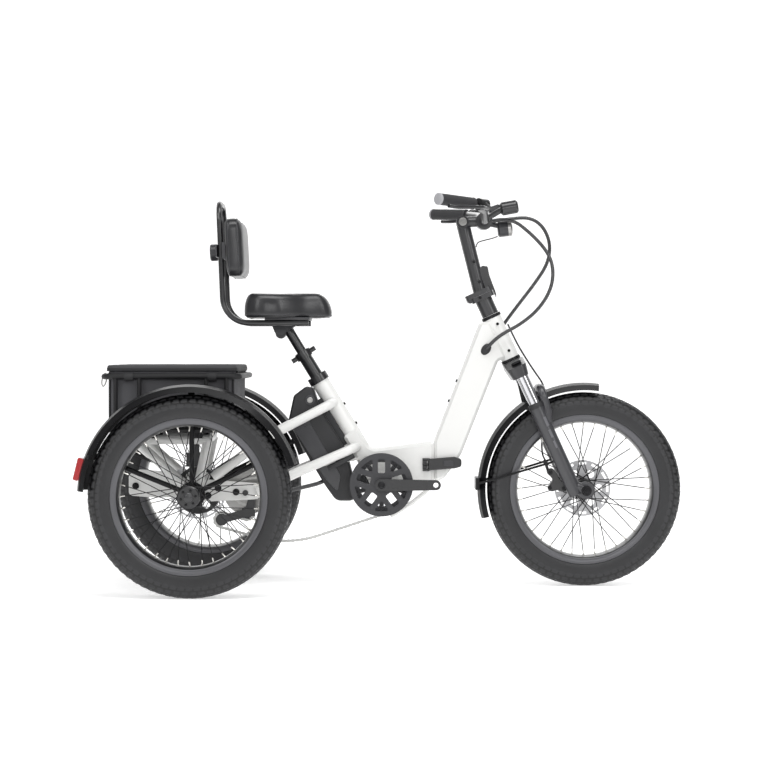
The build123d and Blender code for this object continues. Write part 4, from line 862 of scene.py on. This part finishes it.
canvas = finish("grey_polyester_canvas", "#4e4e51", 0.9, 0.12, 0.85, 0.1)
lid_canvas = finish("dark_grey_polyester_canvas", "#3a3a3c", 0.9, 0.12, 0.8, 0.1)
tape = finish("black_binding_tape", "#1f1f21", 0.8, 0.08, 0.75, 0.15)
rack_black = finish("black_powder_coat", "#141416", 0.9, 0.02, 0.5, 0.1, Specular_IOR_Level=0.35)
dress(rack_black, "basket_frame")
bag_middle, bag_long, bag_half = -58.5, 349.0, 239.0
bag_low, bag_rim, bag_corner, bag_wall = 460.3, 611.0, 22.0, 4.0
bag_around, bag_levels = 240, 18


def outward(ring):
    """The way out at each point of a closed ring in a plane, square to the line past its neighbours."""
    tangent = unit(np.roll(ring, -1, axis=0) - np.roll(ring, 1, axis=0))
    return np.stack([tangent[:, 1], -tangent[:, 0]], axis=1)


def rounded_ring(long, wide, corner, count):
    """Points of a rounded rectangle at equal steps, and the way out at each, both in X and Y."""
    straight = np.array([long - 2 * corner, wide - 2 * corner])
    sides = []
    for quarter in range(4):
        t = np.radians(np.linspace(0, 90, 12) + 90 * quarter)
        centre = np.array([np.sign(cos(t[5])), np.sign(sin(t[5]))]) * straight / 2
        sides.append(centre + corner * np.stack([np.cos(t), np.sin(t)], axis=1))
    ring = evenly(np.concatenate(sides + [sides[0][:1]]), count)
    return ring, outward(ring)


def bag_shell():
    """Outer and inner wall of the bag as one closed skin. Each wall stands on a rounded rectangle and
    sags: it leans in by a slow wave along the wall times a bow over its height, and fine creases run
    down from the rim."""
    ring, out = rounded_ring(bag_long, 2 * bag_half, bag_corner, bag_around)
    around = np.arange(bag_around) / bag_around * 2 * pi
    height = np.linspace(0, 1, bag_levels)
    bow = np.sin(pi * height) ** 0.8
    wave = 1.2 + 1.1 * np.sin(7 * around + 0.8) + 0.7 * np.sin(17 * around + 2.1)
    crease = 0.5 * np.sin(41 * around + 1.3) * (1 - 0.5 * height[:, None])
    lean = bow[:, None] * (wave[None] + crease) + 0.6
    rows = []
    for wall, heights in ((0.0, range(bag_levels)), (bag_wall, range(bag_levels - 1, 0, -1))):
        for i in heights:
            z = bag_low + (bag_rim - bag_low) * height[i]
            spot = ring - out * (lean[i] + wall)[:, None]
            level = np.full(bag_around, z + wall * (i < 2))
            rows.append(np.column_stack([spot[:, 0] + bag_middle, spot[:, 1], level]))
    return closed_rings(rows)


bag = fitted("canvas_bag", *bag_shell(), canvas, "rear_frame", "bag_fabric")
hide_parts("bag_body")
ring, out = rounded_ring(bag_long + 1.0, 2 * bag_half + 1.0, bag_corner, 160)
rim_path = np.column_stack([ring[:, 0] + bag_middle, ring[:, 1], np.full(160, bag_rim - 7.0)])
fitted("bag_rim_piping", *carried(circle(2.2, 10), rim_path, (0, 0, 1), True), tape, "rear_frame",
       "bag_fabric")
for i, (end, side) in enumerate(((-1, -1), (1, -1), (-1, 1), (1, 1))):
    corner_x = bag_middle + end * (bag_long / 2 - 5.6)
    seam = [(corner_x, side * (bag_half - 5.6), z) for z in np.linspace(bag_low + 4, bag_rim - 3, 20)]
    fitted(f"bag_corner_piping_{i}", *carried(circle(2.2, 10), seam, (1, 0, 0)), tape, "rear_frame",
           "bag_fabric")

lid_low, lid_edge, lid_around = 611.4, 16.8, 200


def lid_surface():
    """The lid as rings about its middle: out along its underside, round its edge and back over its top,
    which crowns by 2.4 mm and dimples a little towards the corners."""
    edge = [(-3.0, 0.0), (-0.6, 0.6), (0.4, 2.4), (0.5, 6.0), (0.4, 10.0), (-0.6, 13.6), (-2.6, 15.8),
            (-5.4, lid_edge)]
    rows = [(-inset, 0.0) for inset in (150.0, 110.0, 60.0, 20.0)] + edge
    rows += [(-inset, lid_edge + 0.8 * (1 - np.exp(-inset / 30))) for inset in np.linspace(12, 160, 14)]
    wave = 0.35 * np.sin(9 * np.arange(lid_around) / lid_around * 2 * pi)
    rings = []
    for out_by, rise in rows:
        long, wide = (side + 6 + 2 * out_by for side in (bag_long, 2 * bag_half))
        ring, _ = rounded_ring(long, wide, max(24.0 + out_by, 4.0), lid_around)
        level = lid_low + rise + wave * (rise > lid_edge)
        rings.append(np.column_stack([ring[:, 0] + bag_middle, ring[:, 1], level]))
    return closed_rings(rings)


lid = fitted("bag_lid_cover", *lid_surface(), lid_canvas, "lid", "bag_fabric")
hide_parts("bag_lid")
band_ring, _ = rounded_ring(bag_long + 6.6, 2 * bag_half + 6.6, 24.3, 160)
band_path = np.column_stack([band_ring[:, 0] + bag_middle, band_ring[:, 1], np.full(160, lid_low + 4.6)])
binding = [(-0.2, -4.4), (0.7, -4.4), (1.0, -3.9), (1.0, 3.9), (0.7, 4.4), (-0.2, 4.4)]
fitted("lid_binding", *carried(np.array(binding), band_path, (0, 0, 1), True), tape, "lid", "bag_fabric")

hinge_x, hinge_z = 116.0, 611.3
for number, (start, end, body) in enumerate(((-190, -110, "lid"), (-30, 30, "lid"), (110, 190, "lid"),
                                             (-110, -30, "rear_frame"), (30, 110, "rear_frame"))):
    roll = [(hinge_x, y, hinge_z) for y in np.linspace(start + 1, end - 1, 12)]
    fitted(f"hinge_roll_{number}", *carried(circle(4.3, 16), roll, (0, 0, 1)), tape, body, "bag_fabric")

rail_half, rail_z = 250, 595.5


def strap_loop(x, side, wide):
    """A band of webbing in a closed oval round the top rail."""
    t = np.linspace(0, 2 * pi, 48, endpoint=False)
    path = np.stack([np.full(48, x), side * (rail_half + 9.4 * np.cos(t)), rail_z + 11.0 * np.sin(t)],
                    axis=1)
    band = [(-0.7, -wide / 2), (-0.7, wide / 2), (0.7, wide / 2), (0.7, -wide / 2)]
    return carried(band, path, (1, 0, 0), True)


webbing = finish("black_nylon_webbing", "#1c1c1e", 0.7, 0.15, 0.7, 0.2)
for side, hand in hands:
    for number, x in enumerate((-173, 54)):
        fitted(f"rail_strap_{hand}_{number}", *strap_loop(x, side, 24), webbing, "rear_frame", "bag_fabric",
               smooth=False)
hook_turn = np.linspace(0, 2 * pi, 40, endpoint=False)
hook = [(-245 + 6 * cos(a) + 3 * sin(a), -215.0, 588 + 18 * sin(a)) for a in hook_turn]
fitted("rail_snap_hook", *carried(circle(1.7, 8), hook, (0, 1, 0), True), zinc_plate, "rear_frame",
       "bright_steel")

# ------------------------------------------------------------ seat
# A foam saddle and a foam backrest in black grained vinyl, each swollen against its cover, with a
# welted seam, on a plastic base and a bent steel tube.

vinyl = finish("black_grained_vinyl", "#242426", 1.5, 0.1, 0.3, 0.1)
dress(moulded_black, "saddle_base", "backrest_knob")
dress(black_enamel, "backrest_frame", "seat_post_lower", "seat_post_upper", "seat_clamps")

cover_pressure, cloth_frames, averaging_passes = 4.0, 20, 60


def swollen(obj, voxel, cap):
    """The foam presses its cover out: cloth with pressure inside. The movement is averaged over its
    neighbours, because vinyl stretched over foam doesn't crease, and is held to the cap."""
    remesh = obj.modifiers.new("remesh", "REMESH")
    remesh.mode = "VOXEL"
    remesh.voxel_size = voxel / 1000
    bpy.context.view_layer.update()
    even = bpy.data.meshes.new_from_object(evaluated(obj))
    obj.modifiers.clear()
    obj.data = even
    rest = np.array([v.co[:] for v in even.vertices])
    cloth = obj.modifiers.new("cover", "CLOTH")
    cloth.settings.use_pressure = True
    cloth.settings.uniform_pressure_force = cover_pressure
    cloth.settings.effector_weights.gravity = 0.0
    for step in range(1, cloth_frames + 1):
        bpy.context.scene.frame_set(step)
    after = np.array([v.co[:] for v in evaluated(obj).data.vertices])
    obj.modifiers.clear()
    bpy.context.scene.frame_set(1)
    moved = after - rest
    ends = np.array([e.vertices[:] for e in even.edges])
    shares = np.bincount(ends.ravel(), minlength=len(rest))[:, None]
    for _ in range(averaging_passes):
        near = np.zeros_like(moved)
        np.add.at(near, ends[:, 0], moved[ends[:, 1]])
        np.add.at(near, ends[:, 1], moved[ends[:, 0]])
        moved = 0.5 * moved + 0.5 * near / shares
    far = np.linalg.norm(moved, axis=1, keepdims=True)
    held = rest + moved * np.minimum(1.0, cap / 1000 / np.maximum(far, 1e-9))
    even.vertices.foreach_set("co", held.ravel())
    even.polygons.foreach_set("use_smooth", [True] * len(even.polygons))
    smooth = obj.modifiers.new("smooth", "SUBSURF")
    smooth.levels = smooth.render_levels = 1
    return obj


def laid_on(obj, path, proud):
    """The path's points moved to the nearest place on the surface, and out from it a little."""
    spots = []
    for place in at(path):
        _, spot, normal, _ = obj.closest_point_on_mesh(Vector(place))
        spots.append(np.array(spot + normal * (proud / 1000)))
    return (np.array(spots) - at([(0, 0, 0)])) * 1000


saddle_low, saddle_high, saddle_back, saddle_long = 765.0, 826.5, 130.0, 248.0


def plan_ring(inset, count=200):
    """The saddle's outline from above, in millimetres: half its width is a smooth curve of the distance
    from its back edge, and it is drawn in by the inset."""
    along = (1 - np.cos(np.linspace(0, pi, count // 2 + 1))) / 2
    x = saddle_back + saddle_long * along
    knots = [(130, 96), (140, 114), (165, 129), (195, 134), (230, 129), (270, 108), (305, 84), (335, 70),
             (360, 61), (372, 50), (378, 34)]
    half = np.interp(x, *np.array(knots).T)
    for _ in range(3):
        half = np.convolve(np.pad(half, 2, mode="edge"), np.ones(5) / 5, mode="valid")
    ring = np.concatenate([np.column_stack([x, -half]), np.column_stack([x[::-1], half[::-1]])])
    return ring - outward(ring) * inset


def saddle_surface():
    """Rings of the outline, one above the other: each level gives an inset and a share of the height at
    that place, which dips in the middle and falls away over the nose. Above the last ring the top is
    closed by smaller copies of it."""
    levels = [(20.0, 0.0), (12.0, -0.06), (6.0, -0.1), (2.0, -0.06), (0.0, 0.06), (0.6, 0.3), (2.6, 0.56),
              (6.5, 0.78), (11.0, 0.9), (18.0, 0.98), (26.0, 1.0)]
    rows = [(plan_ring(inset), share) for inset, share in levels]
    last = rows[-1][0]
    middle = np.array([235.0, 0])
    for part in (0.82, 0.62, 0.42, 0.22, 0.06):
        rows.append((middle + (last - middle) * part, 1.0))
    first = rows[0][0]
    for part in (0.8, 0.5, 0.15):
        rows.insert(0, (middle + (first - middle) * part, 0.04))
    points = []
    for ring, share in rows:
        x = ring[:, 0]
        dip = 2.5 * np.exp(-((x - 215.0) / 60.0) ** 2)
        nose_fall = 34.0 * np.clip((x - 335.0) / 47.0, 0, 1) ** 1.8
        top = saddle_high - dip - nose_fall
        points.append(np.column_stack([ring, saddle_low + (top - saddle_low) * share]))
    return closed_rings(points)


saddle = swollen(fitted("saddle_cover", *saddle_surface(), vinyl, "seat", "seat_vinyl"), 5.0, 3.5)
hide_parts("saddle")
under_edge = [(x, y, saddle_low + 1.0) for x, y in plan_ring(0.0)]
welt = laid_on(saddle, under_edge, 0.4)
fitted("saddle_welt", *carried(circle(1.5, 8), welt, (0, 0, 1), True), moulded_black, "seat", "seat_vinyl")

rest_x, rest_z, rest_high, rest_wide = 106.5, 956.0, 170.0, 290.0


def rest_surface():
    """Rings of a rounded rectangle from the back board forward: each level gives a place forward of the
    middle, an inset, and a scale about the middle, and the front swells towards its middle."""
    levels = [(-22.0, 20.0, 0.05), (-22.0, 20.0, 0.4), (-22.0, 20.0, 0.75), (-22.0, 20.0, 1.0),
              (-21.5, 7.0, 1.0), (-18.0, 3.0, 1.0), (-10.0, 1.5, 1.0), (2.0, 1.5, 1.0), (10.0, 3.0, 1.0),
              (15.0, 8.0, 1.0), (18.5, 16.0, 1.0), (20.0, 26.0, 1.0), (20.8, 26.0, 0.85),
              (21.4, 26.0, 0.65), (21.8, 26.0, 0.45), (22.0, 26.0, 0.25), (22.1, 26.0, 0.06)]
    lean = radians(-3.0)
    points = []
    for ahead, inset, part in levels:
        ring, _ = rounded_ring(rest_high - 2 * inset, rest_wide - 2 * inset, 32.0 - inset * 0.5, 160)
        rise, y = ring.T * part
        x = rest_x + ahead * cos(lean) + rise * sin(lean)
        points.append(np.column_stack([x, y, rest_z - ahead * sin(lean) + rise * cos(lean)]))
    return closed_rings(points)


cushion = swollen(fitted("backrest_cover", *rest_surface(), vinyl, "seat", "seat_vinyl"), 5.0, 5.0)
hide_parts("backrest_cushion")
for number, (ahead, inset) in enumerate(((12.0, 2.0), (-19.0, 2.0))):
    ring, _ = rounded_ring(rest_high - 2 * inset, rest_wide - 2 * inset, 31.0, 160)
    path = [(rest_x + ahead - sin(radians(3)) * rise, y, rest_z + rise) for rise, y in ring]
    welt = laid_on(cushion, path, 0.3)
    fitted(f"backrest_welt_{number}", *carried(circle(1.4, 8), welt, (1, 0, 0), True), moulded_black,
           "seat", "seat_vinyl")

# ------------------------------------------------------------ handlebar
# A satin black alloy bar on a folding post, with ribbed rubber grips that end in grey caps, brake
# levers, a small screen, a bell, and a lamp with a clear lens.

dress(black_enamel, "handlebar", "brake_levers", "bell")
dress(moulded_black, "display", "headlamp")
ribbed_rubber = finish("ribbed_black_rubber", "#2a2a2c", 1.0, 0.04, 0.6, 0.12)
cap_grey = finish("light_grey_moulded_cap", "#9a9a9d", 0.9, 0.01, 0.4, 0.06)
along_grip = np.linspace(-124.0, -8.0, 117)
ribs = 15.7 + 0.3 * np.clip(np.cos(along_grip * 2 * pi / 4.0) * 2.0, -1, 1)
grip_line = [(-128, 11.2), (-128, 15.8), (-127.2, 16.5), (-125, 16.5), *zip(along_grip, ribs), (-6, 16.2),
             (-3.2, 16.2), (-3.2, 11.2)]
cap_line = [(-3.2, 11.2), (-3.2, 16.4), (1.6, 16.4), (3.2, 15.6), (4.0, 13.8), (4.0, 0)]
for side, hand in hands:
    grip_end, grip_way = [(670, side * 325, 1076)], [(-99, side * 85, 7)]
    grip = studs("grip_" + hand, turned(grip_line, 48), grip_end, grip_way, ribbed_rubber, "bar_set",
                 "grip_rubber", angle=50)
    studs("grip_cap_" + hand, turned(cap_line, 48), grip_end, grip_way, cap_grey, "bar_set", "grip_rubber")
    if side < 0:
        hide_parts("grips")

clear_lens = finish("clear_acrylic_lens", "#e8ecf0", 0.9, 0.01, 0.06, 0.05, Transmission_Weight=0.6,
                    IOR=1.49, Coat_Weight=0.5)
screen_glass = finish("dark_screen_glass", "#0c0d10", 1.2, 0.002, 0.06, 0.05, Coat_Weight=1.0)
lamp_way = np.array([1.0, 0, 0.105]) / 1.0055
lamp_front = np.array([865.0, 0, 1014.0]) + lamp_way * 19.0
bezel = turned([(-9, 21.0), (-9, 22.4), (-1.5, 22.4), (1.2, 20.4), (2.0, 19.6), (2.0, 18.0), (0.6, 17.6)],
               48)
lens_dome = turned([(0.2, 17.8), (1.6, 16.6), (3.4, 13.0), (4.6, 7.6), (5.0, 0)], 48)
studs("lamp_bezel", bezel, [lamp_front], [lamp_way], zinc_plate, "bar_set", "bright_steel")
fitted("lamp_lens", *copies(*lens_dome, [lamp_front], [lamp_way]), clear_lens, "bar_set", "lamp_red")
screen_up = np.array([-sin(radians(18)), 0, cos(radians(18))])
screen_ahead = np.array([cos(radians(18)), 0, sin(radians(18))])
ring, _ = rounded_ring(24.0, 46.0, 4.0, 60)
screen_rows = [(1.0, 12.6), (1.0, 13.4), (0.96, 13.7), (0.0, 13.8)]
screen = np.concatenate([np.array([838.0, 0, 1066.0]) + part * ring[:, :1] * screen_ahead
                         + part * ring[:, 1:] * np.array([0, 1.0, 0]) + rise * screen_up
                         for part, rise in screen_rows])
creased(fitted("display_glass", screen, grid_faces(len(screen_rows), 60, round_columns=True), screen_glass,
               "bar_set", "black_gloss"))
lamp_wire = [(846, 0, 993), (836, 0, 988), (805, 0, 981), (786, 0, 975), (785, 0, 962)]
tube_along("lamp_wire", lamp_wire, 1.6, hose_jacket, "bar_set")
studs("post_screws", socket_head, [(777.6, -19, 920), (793.3, -19, 863)], [(0, -1, 0)] * 2, black_steel,
      "bar_set", "black_alloy")
stem_ring = turned([(0, 0), (0, 11.5), (1.6, 11.5), (2.4, 10.6), (2.4, 6.4), (0.8, 6.0), (0.8, 0)], 36)
studs("stem_pivot_rings", stem_ring, both_sides(746, 27, 1033), both_sides(0, 1, 0), zinc_plate,
      "bar_set", "bright_steel")
studs("post_clamp_bolt", socket_head, [(794.7, -27, 817.7)], [(0, -1, 0)], black_steel, "steering",
      "black_alloy")
